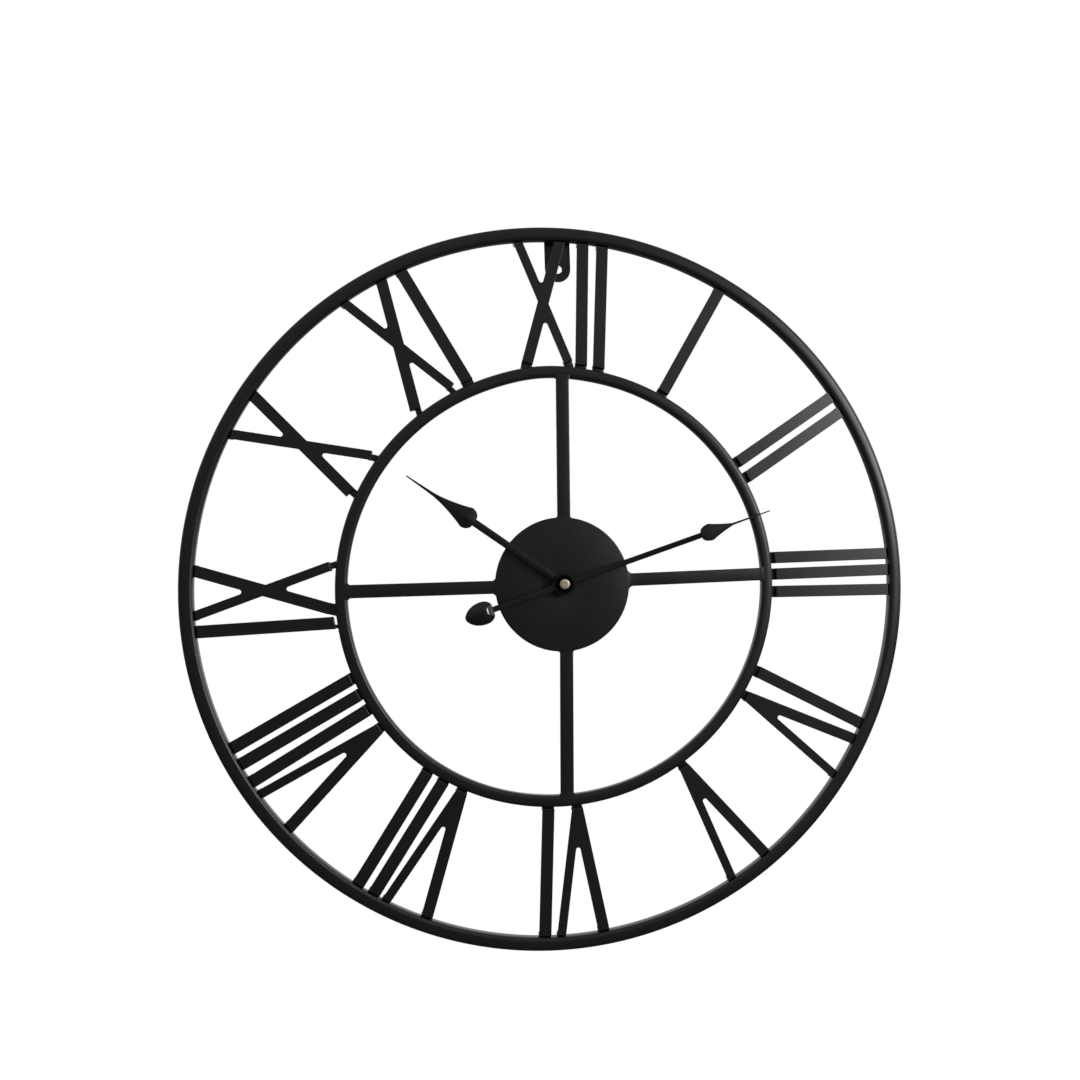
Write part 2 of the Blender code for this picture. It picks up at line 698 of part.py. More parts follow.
def build_counterweight(minute_axis):
    """A cast leaf on the tail, domed to the front by three shrinking outlines."""
    solid = bmesh.new()
    back = MINUTE_HAND_FRONT - GAP
    steps = ((1.0, 0.0), (1.0, 0.35), (0.86, 0.70), (0.55, 0.93))
    rings = []
    for scale, rise in steps:
        points = place_hand(weight_outline(scale), MINUTE_CLOCK_ANGLE)
        level = back - WEIGHT_DEPTH * rise
        rings.append([solid.verts.new((x, level, z)) for x, z in points])
    solid.faces.new(rings[0])
    for first, second in zip(rings, rings[1:]):
        for k in range(len(first)):
            n = (k + 1) % len(first)
            solid.faces.new((first[k], first[n], second[n], second[k]))
    x, z = place_hand([(-(WEIGHT_WIDEST_AT + 1.0), 0.0)], MINUTE_CLOCK_ANGLE)[0]
    top = solid.verts.new((x, back - WEIGHT_DEPTH, z))
    last = rings[-1]
    for k in range(len(last)):
        solid.faces.new((last[k], last[(k + 1) % len(last)], top))
    add_object("counterweight", solid, "gloss_black", (0, back, 0), minute_axis)


def build_hand_nut(minute_axis):
    back = MINUTE_HAND_FRONT - GAP
    front = back - HAND_NUT_THICKNESS
    radius = HAND_NUT_RADIUS
    profile = [(HAND_NUT_BORE, back), (radius - 0.3, back), (radius, back - 0.3), (radius, front + 0.4),
               (radius - 0.4, front), (HAND_NUT_BORE, front)]
    add_object("hand_nut", turned(profile, 32, closed=True), "brass", (0, back, 0), minute_axis)


def build_mounting():
    """The gasket behind the hub, and the washer and hex nut that clamp the bush to it."""
    bore = [circle(0, 0, BUSH_RADIUS + BUSH_PLAY, 20)]
    front = FRONT + HUB_THICKNESS + GAP
    gasket = plate(circle(0, 0, GASKET_RADIUS, 32), bore, front, CASE_FRONT - GAP)
    add_object("gasket", gasket, "rubber")
    washer_front = FRONT - GAP - WASHER_THICKNESS
    washer = plate(circle(0, 0, WASHER_RADIUS, 32), bore, washer_front, FRONT - GAP)
    add_object("mounting_washer", washer, "dark_brass")
    nut_back = washer_front - GAP
    hexagon = arc(0, 0, HEXAGON_RADIUS, 0, 300, 5)
    nut = plate(hexagon, bore, nut_back - HEXAGON_THICKNESS, nut_back)
    add_object("mounting_nut", nut, "dark_brass")


# Gears

def gear_outline(teeth, x, z, phase):
    """Teeth with straight flanks; the first tooth's centre is at the phase angle."""
    pitch = 2 * math.pi / teeth
    tip = MODULE * teeth / 2 + ADDENDUM
    root = MODULE * teeth / 2 - DEDENDUM
    points = []
    for k in range(teeth):
        middle = phase + k * pitch
        for part, radius in ((-TOOTH_ROOT, root), (-TOOTH_TIP, tip), (TOOTH_TIP, tip), (TOOTH_ROOT, root)):
            turn = middle + part * pitch / 2
            points.append((x + radius * math.cos(turn), z + radius * math.sin(turn)))
    return points


def meshed_phase(other, other_teeth, other_phase, here, teeth):
    """The phase that puts a gap here where the other gear's nearest tooth points."""
    line = math.atan2(here[1] - other[1], here[0] - other[0])
    pitch = 2 * math.pi / other_teeth
    lead = (line - other_phase) % pitch
    return line + math.pi + math.pi / teeth + lead * other_teeth / teeth


def step_away(start, teeth_a, teeth_b, degrees):
    distance = MODULE * (teeth_a + teeth_b) / 2
    turn = math.radians(degrees)
    return start[0] + distance * math.cos(turn), start[1] + distance * math.sin(turn)


CENTRE = (0.0, 0.0)
MOTION = step_away(CENTRE, MINUTE_PINION_TEETH, MOTION_WHEEL_TEETH, 150.0)
KNOB = step_away(MOTION, MOTION_WHEEL_TEETH, KNOB_PINION_TEETH, 150.0)
THIRD = step_away(CENTRE, CENTRE_WHEEL_TEETH, TRAIN_PINION_TEETH, 30.0)
SECOND = step_away(THIRD, THIRD_WHEEL_TEETH, TRAIN_PINION_TEETH, 100.0)
INTERMEDIATE = step_away(SECOND, SECOND_WHEEL_TEETH, TRAIN_PINION_TEETH, 170.0)
ROTOR = step_away(INTERMEDIATE, INTERMEDIATE_WHEEL_TEETH, TRAIN_PINION_TEETH, 190.0)


def join_solids(name, solids, material, place, parent):
    """Union overlapping coaxial solids into one piece on its axis."""
    origin = (place[0], 0.0, place[1])
    pieces = [add_object(f"{name}_part{k}", solid, material, origin) for k, solid in enumerate(solids)]
    result = pieces[0]
    for piece in pieces[1:]:
        boolean(result, piece, "UNION")
    result.name = name
    result.data.name = name
    result.parent = parent
    result.location = result.location - parent.location
    return result


def arbor(place, shaft_low=-14.8, shaft_high=PLATE_FRONT - 0.2):
    """A plain arbor with a finer pivot at each end, one in the case and one in the plate."""
    x, z = place
    profile = [(0.0, CASE_FLOOR - 0.5), (PIVOT_RADIUS, CASE_FLOOR - 0.5), (PIVOT_RADIUS, shaft_low),
               (ARBOR_RADIUS, shaft_low), (ARBOR_RADIUS, shaft_high), (PIVOT_RADIUS, shaft_high),
               (PIVOT_RADIUS, PLATE_BACK - 0.1), (0.0, PLATE_BACK - 0.1)]
    return turned(profile, 12, x, z)


def gear(teeth, place, phase, low, high, bore=None):
    holes = [circle(*place, bore, 20)] if bore else []
    return plate(gear_outline(teeth, *place, phase), holes, low, high)


def build_motion_work(hour_axis, minute_axis):
    """The 12 to 1 gearing under the dial, and the knob that sets the hands."""
    shaft = turned([(0.0, -31.2), (THREAD_RADIUS, -31.2), (THREAD_RADIUS, -29.3), (SHAFT_RADIUS, -29.3),
                    (SHAFT_RADIUS, -13.4), (CENTRE_SHAFT, -13.4), (CENTRE_SHAFT, -4.7),
                    (PIVOT_RADIUS, -4.7), (PIVOT_RADIUS, -3.5), (0.0, -3.5)], 24)
    pinion = gear(MINUTE_PINION_TEETH, CENTRE, 0.0, -13.6, -11.9)
    join_solids("minute_shaft", [shaft, pinion], "brass", CENTRE, minute_axis)

    wheel_phase = meshed_phase(CENTRE, MINUTE_PINION_TEETH, 0.0, MOTION, MOTION_WHEEL_TEETH)
    motion_axis = add_axis("motion_axis", MOTION[0], 0.0, MOTION[1])
    wheel = gear(MOTION_WHEEL_TEETH, MOTION, wheel_phase, -13.0, -12.2, MOTION_BORE)
    pinion = gear(MOTION_PINION_TEETH, MOTION, 0.0, -14.8, -12.8, MOTION_BORE)
    join_solids("motion_wheel", [wheel, pinion], "white_plastic", MOTION, motion_axis)

    hour_phase = meshed_phase(MOTION, MOTION_PINION_TEETH, 0.0, CENTRE, HOUR_WHEEL_TEETH)
    bore = circle(0, 0, HOUR_TUBE_BORE, 32)
    tube = plate(circle(0, 0, HOUR_TUBE_RADIUS, 32), [bore], -26.6, -14.2)
    wheel = gear(HOUR_WHEEL_TEETH, CENTRE, hour_phase, -14.6, -13.7, HOUR_TUBE_BORE)
    join_solids("hour_wheel", [wheel, tube], "white_plastic", CENTRE, hour_axis)

    knob_phase = meshed_phase(MOTION, MOTION_WHEEL_TEETH, wheel_phase, KNOB, KNOB_PINION_TEETH)
    knob_axis = add_axis("knob_axis", KNOB[0], 0.0, KNOB[1])
    grip = []
    for k in range(48):
        turn = 2 * math.pi * k / 48
        radius = KNOB_RADIUS if k % 4 < 2 else KNOB_RADIUS - KNOB_FLUTE
        grip.append((KNOB[0] + radius * math.cos(turn), KNOB[1] + radius * math.sin(turn)))
    head = plate(grip, [], -2.8, -0.4)
    stem = turned([(0.0, -15.5), (PIVOT_RADIUS, -15.5), (PIVOT_RADIUS, -14.8), (1.0, -14.8),
                   (1.0, -13.4), (1.2, -11.8), (1.2, -2.5), (0.0, -2.5)], 20, *KNOB)
    pinion = gear(KNOB_PINION_TEETH, KNOB, knob_phase, -13.4, -11.8)
    join_solids("setting_knob", [stem, pinion, head], "white_plastic", KNOB, knob_axis)


def build_train():
    """The drive train from the stepping rotor up to the friction-fitted centre wheel."""
    six = TRAIN_PINION_TEETH
    axes = {}
    for name, place in (("centre", CENTRE), ("third", THIRD), ("second", SECOND),
                        ("intermediate", INTERMEDIATE), ("rotor", ROTOR)):
        axes[name] = add_axis(f"{name}_axis", place[0], 0.0, place[1])

    pinion = gear(six, ROTOR, 0.0, -6.8, -5.6)
    magnet = turned([(0.0, -11.5), (MAGNET_RADIUS, -11.5), (MAGNET_RADIUS, -8.5), (0.0, -8.5)], 24, *ROTOR)
    join_solids("rotor", [arbor(ROTOR), magnet, pinion], "magnet", ROTOR, axes["rotor"])

    phase = meshed_phase(ROTOR, six, 0.0, INTERMEDIATE, INTERMEDIATE_WHEEL_TEETH)
    wheel = gear(INTERMEDIATE_WHEEL_TEETH, INTERMEDIATE, phase, -6.6, -5.8)
    pinion = gear(six, INTERMEDIATE, 0.0, -8.4, -6.4)
    join_solids("intermediate_wheel", [arbor(INTERMEDIATE), pinion, wheel], "white_plastic",
                INTERMEDIATE, axes["intermediate"])

    phase = meshed_phase(INTERMEDIATE, six, 0.0, SECOND, SECOND_WHEEL_TEETH)
    wheel = gear(SECOND_WHEEL_TEETH, SECOND, phase, -8.2, -7.4)
    pinion = gear(six, SECOND, 0.0, -10.0, -8.0)
    join_solids("second_wheel", [arbor(SECOND), pinion, wheel], "white_plastic", SECOND, axes["second"])

    phase = meshed_phase(SECOND, six, 0.0, THIRD, THIRD_WHEEL_TEETH)
    wheel = gear(THIRD_WHEEL_TEETH, THIRD, phase, -9.8, -9.0)
    pinion = gear(six, THIRD, 0.0, -11.6, -9.6)
    join_solids("third_wheel", [arbor(THIRD), pinion, wheel], "white_plastic", THIRD, axes["third"])

    phase = meshed_phase(THIRD, six, 0.0, CENTRE, CENTRE_WHEEL_TEETH)
    wheel = gear(CENTRE_WHEEL_TEETH, CENTRE, phase, -11.4, -10.6, CENTRE_BORE)
    collar = plate(circle(0, 0, 2.2, 20), [circle(0, 0, CENTRE_BORE, 20)], -11.0, -10.1)
    join_solids("centre_wheel", [wheel, collar], "white_plastic", CENTRE, axes["centre"])


# Case, plates and electric pieces

def build_case():
    body = plate(rounded_rectangle(-CASE_HALF, CASE_HALF, -CASE_HALF, CASE_HALF, CASE_CORNER),
                 [], CASE_FRONT, COVER_FRONT - GAP)
    case = add_object("movement_case", body, "case_black")
    inside = CASE_HALF - CASE_WALL
    room = rounded_rectangle(-inside, inside, PARTITION_TOP, inside, 2.8)
    boolean(case, add_object("cut", plate(room, [], CASE_FLOOR, 1.0), "case_black"), "DIFFERENCE")
    bay = rounded_rectangle(-inside, inside, -inside, PARTITION_BOTTOM, 2.0)
    boolean(case, add_object("cut", plate(bay, [], BAY_FLOOR, 1.0), "case_black"), "DIFFERENCE")
    bush = turned([(0.0, BUSH_FRONT), (BUSH_RADIUS - 0.4, BUSH_FRONT), (BUSH_RADIUS, BUSH_FRONT + 0.4),
                   (BUSH_RADIUS, CASE_FRONT + 0.5), (0.0, CASE_FRONT + 0.5)], 32)
    boolean(case, add_object("bush", bush, "case_black"), "UNION")
    bore = turned([(0.0, BUSH_FRONT - 1), (BUSH_BORE, BUSH_FRONT - 1), (BUSH_BORE, CASE_FLOOR + 1),
                   (0.0, CASE_FLOOR + 1)], 32)
    boolean(case, add_object("cut", bore, "case_black"), "DIFFERENCE")
    stud = turned([(0.0, CASE_FLOOR - 0.5), (MOTION_STUD, CASE_FLOOR - 0.5), (MOTION_STUD, -11.8),
                   (0.0, -11.8)], 16, *MOTION)
    boolean(case, add_object("stud", stud, "case_black"), "UNION")
    for place in (THIRD, SECOND, INTERMEDIATE, ROTOR, KNOB):
        pit = turned([(0.0, CASE_FLOOR - 0.65), (PIVOT_HOLE, CASE_FLOOR - 0.65),
                      (PIVOT_HOLE, CASE_FLOOR + 1), (0.0, CASE_FLOOR + 1)], 16, *place)
        boolean(case, add_object("cut", pit, "case_black"), "DIFFERENCE")


def build_plates():
    inside = CASE_HALF - CASE_WALL - GAP
    outline = rounded_rectangle(-inside, inside, PARTITION_TOP + GAP, inside, 2.5)
    holes = [circle(*place, PIVOT_HOLE, 16) for place in (CENTRE, THIRD, SECOND, INTERMEDIATE, ROTOR)]
    holes.append(circle(*KNOB, 1.3, 20))
    add_object("train_plate", plate(outline, holes, PLATE_FRONT, PLATE_BACK), "white_plastic")

    outline = rounded_rectangle(-CASE_HALF, CASE_HALF, -CASE_HALF, CASE_HALF, CASE_CORNER)
    bay = rounded_rectangle(-26.0, 26.0, -26.2, -11.2, 1.5)
    holes = [circle(*KNOB, KNOB_HOLE, 40), bay]
    add_object("rear_cover", plate(outline, holes, COVER_FRONT, 0.0), "case_black")


def build_electrics(battery_axis):
    """The stepping motor's stator and coil, the circuit board, the contacts and the cell."""
    x, z = ROTOR
    outer = [(-22.2, 23.0), (-22.2, -3.0), (-13.0, -3.0), (-13.0, 9.8)]
    outer += arc(x, z, 4.4, 207, 510, 16)
    outer += [(-8.0, 17.5), (-4.0, 20.0), (-4.0, 23.0)]
    window = [(-19.8, 20.4), (-10.2, 20.4), (-10.2, 13.4), (-15.4, 13.4), (-15.4, -0.5), (-19.8, -0.5)]
    stator = plate(outer, [window, circle(x, z, MAGNET_HOLE, 24)], -11.0, -9.4)
    add_object("stator", stator, "steel")

    sleeve = [(-25.6, -14.0), (-16.4, -14.0), (-16.4, -6.4), (-25.6, -6.4)]
    core_hole = [(-22.5, -11.3), (-19.5, -11.3), (-19.5, -9.1), (-22.5, -9.1)]
    add_object("coil", plate(sleeve, [core_hole], 0.2, 19.8, along="z"), "copper")

    board = plate([(15.0, -7.8), (25.8, -7.8), (25.8, 22.0), (15.0, 22.0)],
                  [circle(20.5, -4.0, 1.2, 12)], -14.6, -13.4)
    add_object("circuit_board", board, "board_green")
    crystal = turned([(0.0, 17.2), (0.8, 17.2), (1.0, 17.6), (1.0, 23.2), (0.0, 23.2)], 16,
                     -12.1, 14.0, along="x")
    add_object("quartz_crystal", crystal, "steel")

    y = BATTERY_Y
    for name, low, high in (("contact_positive", 25.7, 26.4), ("contact_negative", -26.4, -25.7)):
        strip = [(low, -14.6), (high, -14.6), (high, -3.0), (low, -3.0)]
        contact = plate(strip, [], BATTERY_Z - 3.5, BATTERY_Z + 3.5, along="z")
        add_object(name, contact, "steel")

    r = BATTERY_RADIUS
    tip = BATTERY_TERMINAL
    profile = [(0.0, -25.0), (r - 0.5, -25.0), (r, -24.6), (r, 23.4), (r - 0.6, 24.0), (tip, 24.0),
               (tip, 25.1), (tip - 0.3, 25.3), (0.0, 25.3)]
    cell = turned(profile, 32, y, BATTERY_Z, along="x")
    add_object("battery", cell, "battery_wrap", (0.0, y, BATTERY_Z), battery_axis)


def main():
    clear_scene()
    build_frame()
    hour_axis = add_axis("hour_axis", 0.0, 0.0, 0.0)
    minute_axis = add_axis("minute_axis", 0.0, 0.0, 0.0)
    battery_axis = add_axis("battery_axis", 0.0, BATTERY_Y, BATTERY_Z)
    build_hands(hour_axis, minute_axis)
    build_mounting()
    build_motion_work(hour_axis, minute_axis)
    build_train()
    build_case()
    build_plates()
    build_electrics(battery_axis)


main()
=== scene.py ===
"""The looks of a skeleton wall clock in powder-coated steel, with a battery quartz movement.

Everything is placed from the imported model. The dial faces -Y and +Z is up. Lengths written
below are in millimetres and turned into metres by MM.
"""

import json
import math

import bmesh
import bpy
from mathutils import Euler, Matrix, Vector


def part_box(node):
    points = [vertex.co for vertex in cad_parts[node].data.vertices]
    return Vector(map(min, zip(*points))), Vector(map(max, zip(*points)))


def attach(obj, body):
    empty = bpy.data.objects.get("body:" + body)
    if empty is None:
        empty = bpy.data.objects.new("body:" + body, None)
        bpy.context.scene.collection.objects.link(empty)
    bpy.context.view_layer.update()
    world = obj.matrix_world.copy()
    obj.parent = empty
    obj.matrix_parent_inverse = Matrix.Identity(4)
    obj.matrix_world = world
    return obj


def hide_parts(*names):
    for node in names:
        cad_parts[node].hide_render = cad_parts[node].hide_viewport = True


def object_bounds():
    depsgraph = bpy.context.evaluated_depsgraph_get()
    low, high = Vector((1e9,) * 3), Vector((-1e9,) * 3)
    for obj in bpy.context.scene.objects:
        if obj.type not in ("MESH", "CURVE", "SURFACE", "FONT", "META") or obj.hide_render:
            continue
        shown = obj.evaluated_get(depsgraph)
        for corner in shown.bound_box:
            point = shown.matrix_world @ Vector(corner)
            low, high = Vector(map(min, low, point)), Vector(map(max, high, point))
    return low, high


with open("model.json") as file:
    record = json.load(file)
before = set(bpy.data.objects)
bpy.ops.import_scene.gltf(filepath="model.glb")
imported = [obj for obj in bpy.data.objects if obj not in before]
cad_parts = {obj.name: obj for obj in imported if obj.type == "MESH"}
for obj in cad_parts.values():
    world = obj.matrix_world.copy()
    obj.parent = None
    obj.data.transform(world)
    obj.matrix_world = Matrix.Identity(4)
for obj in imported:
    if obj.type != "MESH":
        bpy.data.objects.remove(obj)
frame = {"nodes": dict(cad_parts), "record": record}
CAD_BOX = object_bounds()
MM = 0.001

# One lamp, in metres and watts. The rest of the light comes from the world.
KEY_AT = (0.891, -1.256, 0.33)
KEY_SIZE = (0.18, 0.42)
KEY_WATTS = 6.0
TINT = (0.94, 1.0, 0.95)
# Strengths of the world as the surfaces see it. The eye sees it white.
WORLD_FRONT = 0.195
WORLD_BEHIND = 0.95
WORLD_RIGHT = 1.55
WORLD_ABOVE = 0.20            # what comes on top of the rest from overhead
FLOOR_COLOUR = (0.14, 0.14, 0.14)
FLOOR_HALF = 6.0
FLOOR_GAP = 0.06              # between the clock's lowest point and the floor, in metres

# The camera stands a little left of the clock's axis and looks past it to the right.
CAMERA_AT = (-92.2, -819.3, -1.9)
CAMERA_TURN = (92.058, 2.091, -11.959)
CAMERA_LENS = 38.60
CAMERA_SHIFT = (-0.1224, 0.0013)
SENSOR_WIDTH = 36.0

RING_SEGMENTS = 288
CROWN = 3.5                   # exponent of a tube's cross-section: 2 is round, more is squarer
CLOSE = 0.01                  # points that differ by less than this are level
WALL_REACH = 0.7              # how far a tab runs into the tube that it is welded to
CREST_REACH = 2.4             # how far a spoke runs past its CAD end, under the ring's crown
HUB_REACH = 0.35              # how far a spoke runs into the hub's edge
SPOKE_HALF = 4.5
SPOKE_SET_BACK = 0.12         # of a spoke's front face, behind the hub's
SPOKE_EDGE = 0.6
FILLET_SPREAD = 0.741         # of a weld fillet's radius, by which it widens a spoke's end
# How far to the side of its CAD place a spoke meets the ring.
RING_END_SHIFT = {"spoke_top": 0.5, "spoke_right": -0.25, "spoke_left": 0.4}
HUB_BORE = 4.2
HUB_EDGE = 0.45
INNER_BENDS = 168.0           # a stroke's bends are inside this radius or outside the next
OUTER_BENDS = 232.0
BEND_RADIUS = 0.8
SHEET_EDGE = 0.35
# A weld bead's size, how far it sinks into the wall, and how far it is from the joint's face.
OUTER_BEAD = (0.9, 0.2, 1.1)
INNER_BEAD = (0.75, 0.2, 0.9)
BEAD_STEPS = 10
WIRE_SIDES = 8                # of a bead's or a wire's section
# The radius of a hand's boss, the radius of its hole, and how high its blade is crowned.
HANDS = {"hour_hand": (6.6, 2.6, 1.0), "minute_hand": (7.5, 1.7, 0.7)}
BOSS_SHADE_FADES = (4.5, 9.0)       # from the hands' axis, where the painted shade on the bosses fades into the lacquer, and where the lacquer is whole
HAND_SPECULAR = 0.30
BAND_EDGES = (0.235, 0.230)   # of the cell's length, where the pale band starts

BODY_OF = {}
SLOT_OF = {}
for body, members in frame["record"]["behaviour"]["bodies"].items():
    for member in members:
        BODY_OF[member] = body
for entry in frame["record"]["subparts"]:
    SLOT_OF[entry["node"]] = entry["material_slot"]
NODES = list(BODY_OF)


# Materials

class Surface:
    """A material built from nodes, with a few short calls."""

    def __init__(self, name, colour, metallic=0.0, roughness=0.5):
        self.material = bpy.data.materials.new(name)
        self.material.use_nodes = True
        self.nodes = self.material.node_tree.nodes
        self.links = self.material.node_tree.links
        self.shader = self.nodes["Principled BSDF"]
        self.shader.inputs["Base Color"].default_value = (*colour, 1.0)
        self.shader.inputs["Metallic"].default_value = metallic
        self.shader.inputs["Roughness"].default_value = roughness
        self.place = self.nodes.new("ShaderNodeTexCoord").outputs["Object"]

    def set(self, name, value):
        self.shader.inputs[name].default_value = value

    def noise(self, scale, detail=3.0, roughness=0.55, stretch=None):
        source = self.place
        if stretch:
            mapping = self.nodes.new("ShaderNodeMapping")
            mapping.inputs["Scale"].default_value = stretch
            self.links.new(self.place, mapping.inputs["Vector"])
            source = mapping.outputs["Vector"]
        node = self.nodes.new("ShaderNodeTexNoise")
        node.inputs["Scale"].default_value = scale
        node.inputs["Detail"].default_value = detail
        node.inputs["Roughness"].default_value = roughness
        self.links.new(source, node.inputs["Vector"])
        return node.outputs["Fac"]

    def ramp(self, source, low, high, from_value=0.0, to_value=1.0):
        node = self.nodes.new("ShaderNodeMapRange")
        node.interpolation_type = "SMOOTHSTEP"
        node.inputs["From Min"].default_value = low
        node.inputs["From Max"].default_value = high
        node.inputs["To Min"].default_value = from_value
        node.inputs["To Max"].default_value = to_value
        self.links.new(source, node.inputs["Value"])
        return node.outputs["Result"]

    def math(self, operation, first, second):
        node = self.nodes.new("ShaderNodeMath")
        node.operation = operation
        for socket, value in zip(node.inputs, (first, second)):
            if isinstance(value, float):
                socket.default_value = value
            else:
                self.links.new(value, socket)
        return node.outputs["Value"]

    def mix(self, factor, first, second):
        node = self.nodes.new("ShaderNodeMix")
        node.data_type = "RGBA"
        self.links.new(factor, node.inputs["Factor"])
        for name, value in (("A", first), ("B", second)):
            socket = [s for s in node.inputs if s.name == name and s.type == "RGBA"][0]
            if isinstance(value, tuple):
                socket.default_value = (*value, 1.0)
            else:
                self.links.new(value, socket)
        return [s for s in node.outputs if s.type == "RGBA"][0]

    def edges(self, low=0.53, high=0.62):
        """High along convex edges, where a coat wears thin."""
        pointiness = self.nodes.new("ShaderNodeNewGeometry").outputs["Pointiness"]
        return self.ramp(pointiness, low, high)

    def colour(self, source):
        self.links.new(source, self.shader.inputs["Base Color"])

    def roughness(self, source):
        self.links.new(source, self.shader.inputs["Roughness"])

    def bump(self, source, depth_mm, strength=1.0):
        node = self.nodes.new("ShaderNodeBump")
        node.inputs["Strength"].default_value = strength
        node.inputs["Distance"].default_value = depth_mm * MM
        self.links.new(source, node.inputs["Height"])
        self.links.new(node.outputs["Normal"], self.shader.inputs["Normal"])


def powder_coat():
    """Satin black powder coat: orange peel, slight patches, thinner and glossier along edges."""
    coat = Surface("powder_coat", (0.007, 0.0082, 0.008), roughness=0.34)
    coat.set("Specular IOR Level", 0.5)
    patches = coat.noise(30.0, detail=4.0)
    peel = coat.noise(1100.0, detail=2.0)
    wear = coat.math("MULTIPLY", coat.edges(), coat.ramp(coat.noise(160.0), 0.45, 0.7))
    base = coat.mix(patches, (0.0058, 0.0070, 0.0068), (0.0080, 0.0092, 0.0089))
    coat.colour(coat.mix(wear, base, (0.022, 0.023, 0.023)))
    satin = coat.ramp(patches, 0.3, 0.7, 0.28, 0.34)
    coat.roughness(coat.math("SUBTRACT", satin, coat.math("MULTIPLY", wear, 0.06)))
    coat.bump(peel, 0.017)
    return coat.material


def hand_lacquer():
    """Deep black lacquer on the hands' thin sheet, with painted shade on the bosses: darker and
    without reflection near the axis.
    """
    lacquer = Surface("hand_lacquer", (0.003, 0.0035, 0.0035), roughness=0.52)
    split = lacquer.nodes.new("ShaderNodeSeparateXYZ")
    lacquer.links.new(lacquer.place, split.inputs["Vector"])
    flat = [lacquer.math("MULTIPLY", split.outputs[axis], split.outputs[axis])
            for axis in ("X", "Z")]
    out = lacquer.math("SQRT", lacquer.math("ADD", *flat), 0.0)
    # painted shade: near the axis the specular level falls to nothing and the colour darkens
    sheet = lacquer.ramp(out, *(radius * MM for radius in BOSS_SHADE_FADES))
    lacquer.links.new(lacquer.math("MULTIPLY", sheet, HAND_SPECULAR),
                      lacquer.shader.inputs["Specular IOR Level"])
    patches = lacquer.noise(60.0, detail=3.0)
    coat = lacquer.mix(patches, (0.0026, 0.0031, 0.0030), (0.0044, 0.0050, 0.0048))
    # the darker colour at the bosses is painted shade, not a stain on the lacquer
    lacquer.colour(lacquer.mix(sheet, (0.0016, 0.0016, 0.0015), coat))
    lacquer.roughness(lacquer.ramp(patches, 0.3, 0.7, 0.48, 0.56))
    lacquer.bump(lacquer.noise(1500.0, detail=2.0), 0.004)
    return lacquer.material


def gloss_enamel():
    """Thick glossy black enamel on the cast weight."""
    enamel = Surface("gloss_enamel", (0.004, 0.004, 0.0045), roughness=0.2)
    enamel.set("Specular IOR Level", 0.5)
    patches = enamel.noise(140.0, detail=3.0)
    enamel.colour(enamel.mix(patches, (0.003, 0.003, 0.0035), (0.007, 0.007, 0.0075)))
    enamel.roughness(enamel.ramp(patches, 0.3, 0.7, 0.13, 0.18))
    enamel.bump(enamel.noise(260.0, detail=1.0), 0.03)
    return enamel.material


def turned_brass():
    """Brass with fine turning marks about the clock's axis, dulled in patches."""
    brass = Surface("turned_brass", (0.66, 0.53, 0.44), metallic=1.0, roughness=0.5)
    tarnish = brass.noise(420.0, detail=4.0)
    brass.colour(brass.mix(tarnish, (0.74, 0.59, 0.49), (0.52, 0.39, 0.30)))
    brass.roughness(brass.ramp(tarnish, 0.3, 0.7, 0.46, 0.60))
    wave = brass.nodes.new("ShaderNodeTexWave")
    wave.wave_type = "RINGS"
    wave.rings_direction = "Y"
    wave.inputs["Scale"].default_value = 2600.0
    wave.inputs["Distortion"].default_value = 1.5
    brass.links.new(brass.place, wave.inputs["Vector"])
    brass.bump(wave.outputs["Fac"], 0.006)
    return brass.material


def blackened_brass():
    """Chemically blackened brass, rubbed through to brown metal at the corners."""
    brass = Surface("blackened_brass", (0.05, 0.04, 0.03), metallic=1.0, roughness=0.4)
    rubbed = brass.math("MULTIPLY", brass.edges(), brass.noise(500.0))
    stain = brass.mix(brass.noise(300.0, detail=4.0), (0.035, 0.028, 0.022), (0.075, 0.055, 0.038))
    brass.colour(brass.mix(rubbed, stain, (0.30, 0.20, 0.11)))
    brass.roughness(brass.ramp(brass.noise(700.0), 0.3, 0.7, 0.34, 0.50))
    brass.bump(brass.noise(1800.0, detail=2.0), 0.004)
    return brass.material


def moulded(name, dark, light, rough_low, rough_high, grain_mm=0.010, translucent=0.0):
    """Moulded plastic with a fine spark-eroded grain."""
    plastic = Surface(name, dark, roughness=rough_low)
    patches = plastic.noise(70.0, detail=3.0)
    grain = plastic.noise(2600.0, detail=2.0)
    shade = plastic.mix(patches, dark, light)
    edge = plastic.math("MULTIPLY", plastic.edges(0.54, 0.66), plastic.noise(300.0))
    rubbed = tuple(min(1.0, channel * 1.35 + 0.01) for channel in light)
    plastic.colour(plastic.mix(edge, shade, rubbed))
    plastic.roughness(plastic.ramp(grain, 0.3, 0.7, rough_low, rough_high))
    plastic.bump(grain, grain_mm)
    if translucent:
        plastic.set("Subsurface Weight", translucent)
        plastic.set("Subsurface Radius", (0.002, 0.0015, 0.001))
    return plastic.material


def sheet_metal(name, colour, rough, stretch=(1.0, 1.0, 30.0)):
    """Plated or rolled metal with fine lines along one direction."""
    metal = Surface(name, colour, metallic=1.0, roughness=rough)
    grain = metal.noise(420.0, detail=4.0, stretch=stretch)
    dull = tuple(channel * 0.72 for channel in colour)
    metal.colour(metal.mix(grain, colour, dull))
    metal.roughness(metal.ramp(grain, 0.3, 0.7, rough - 0.06, rough + 0.12))
    metal.bump(grain, 0.004)
    return metal.material


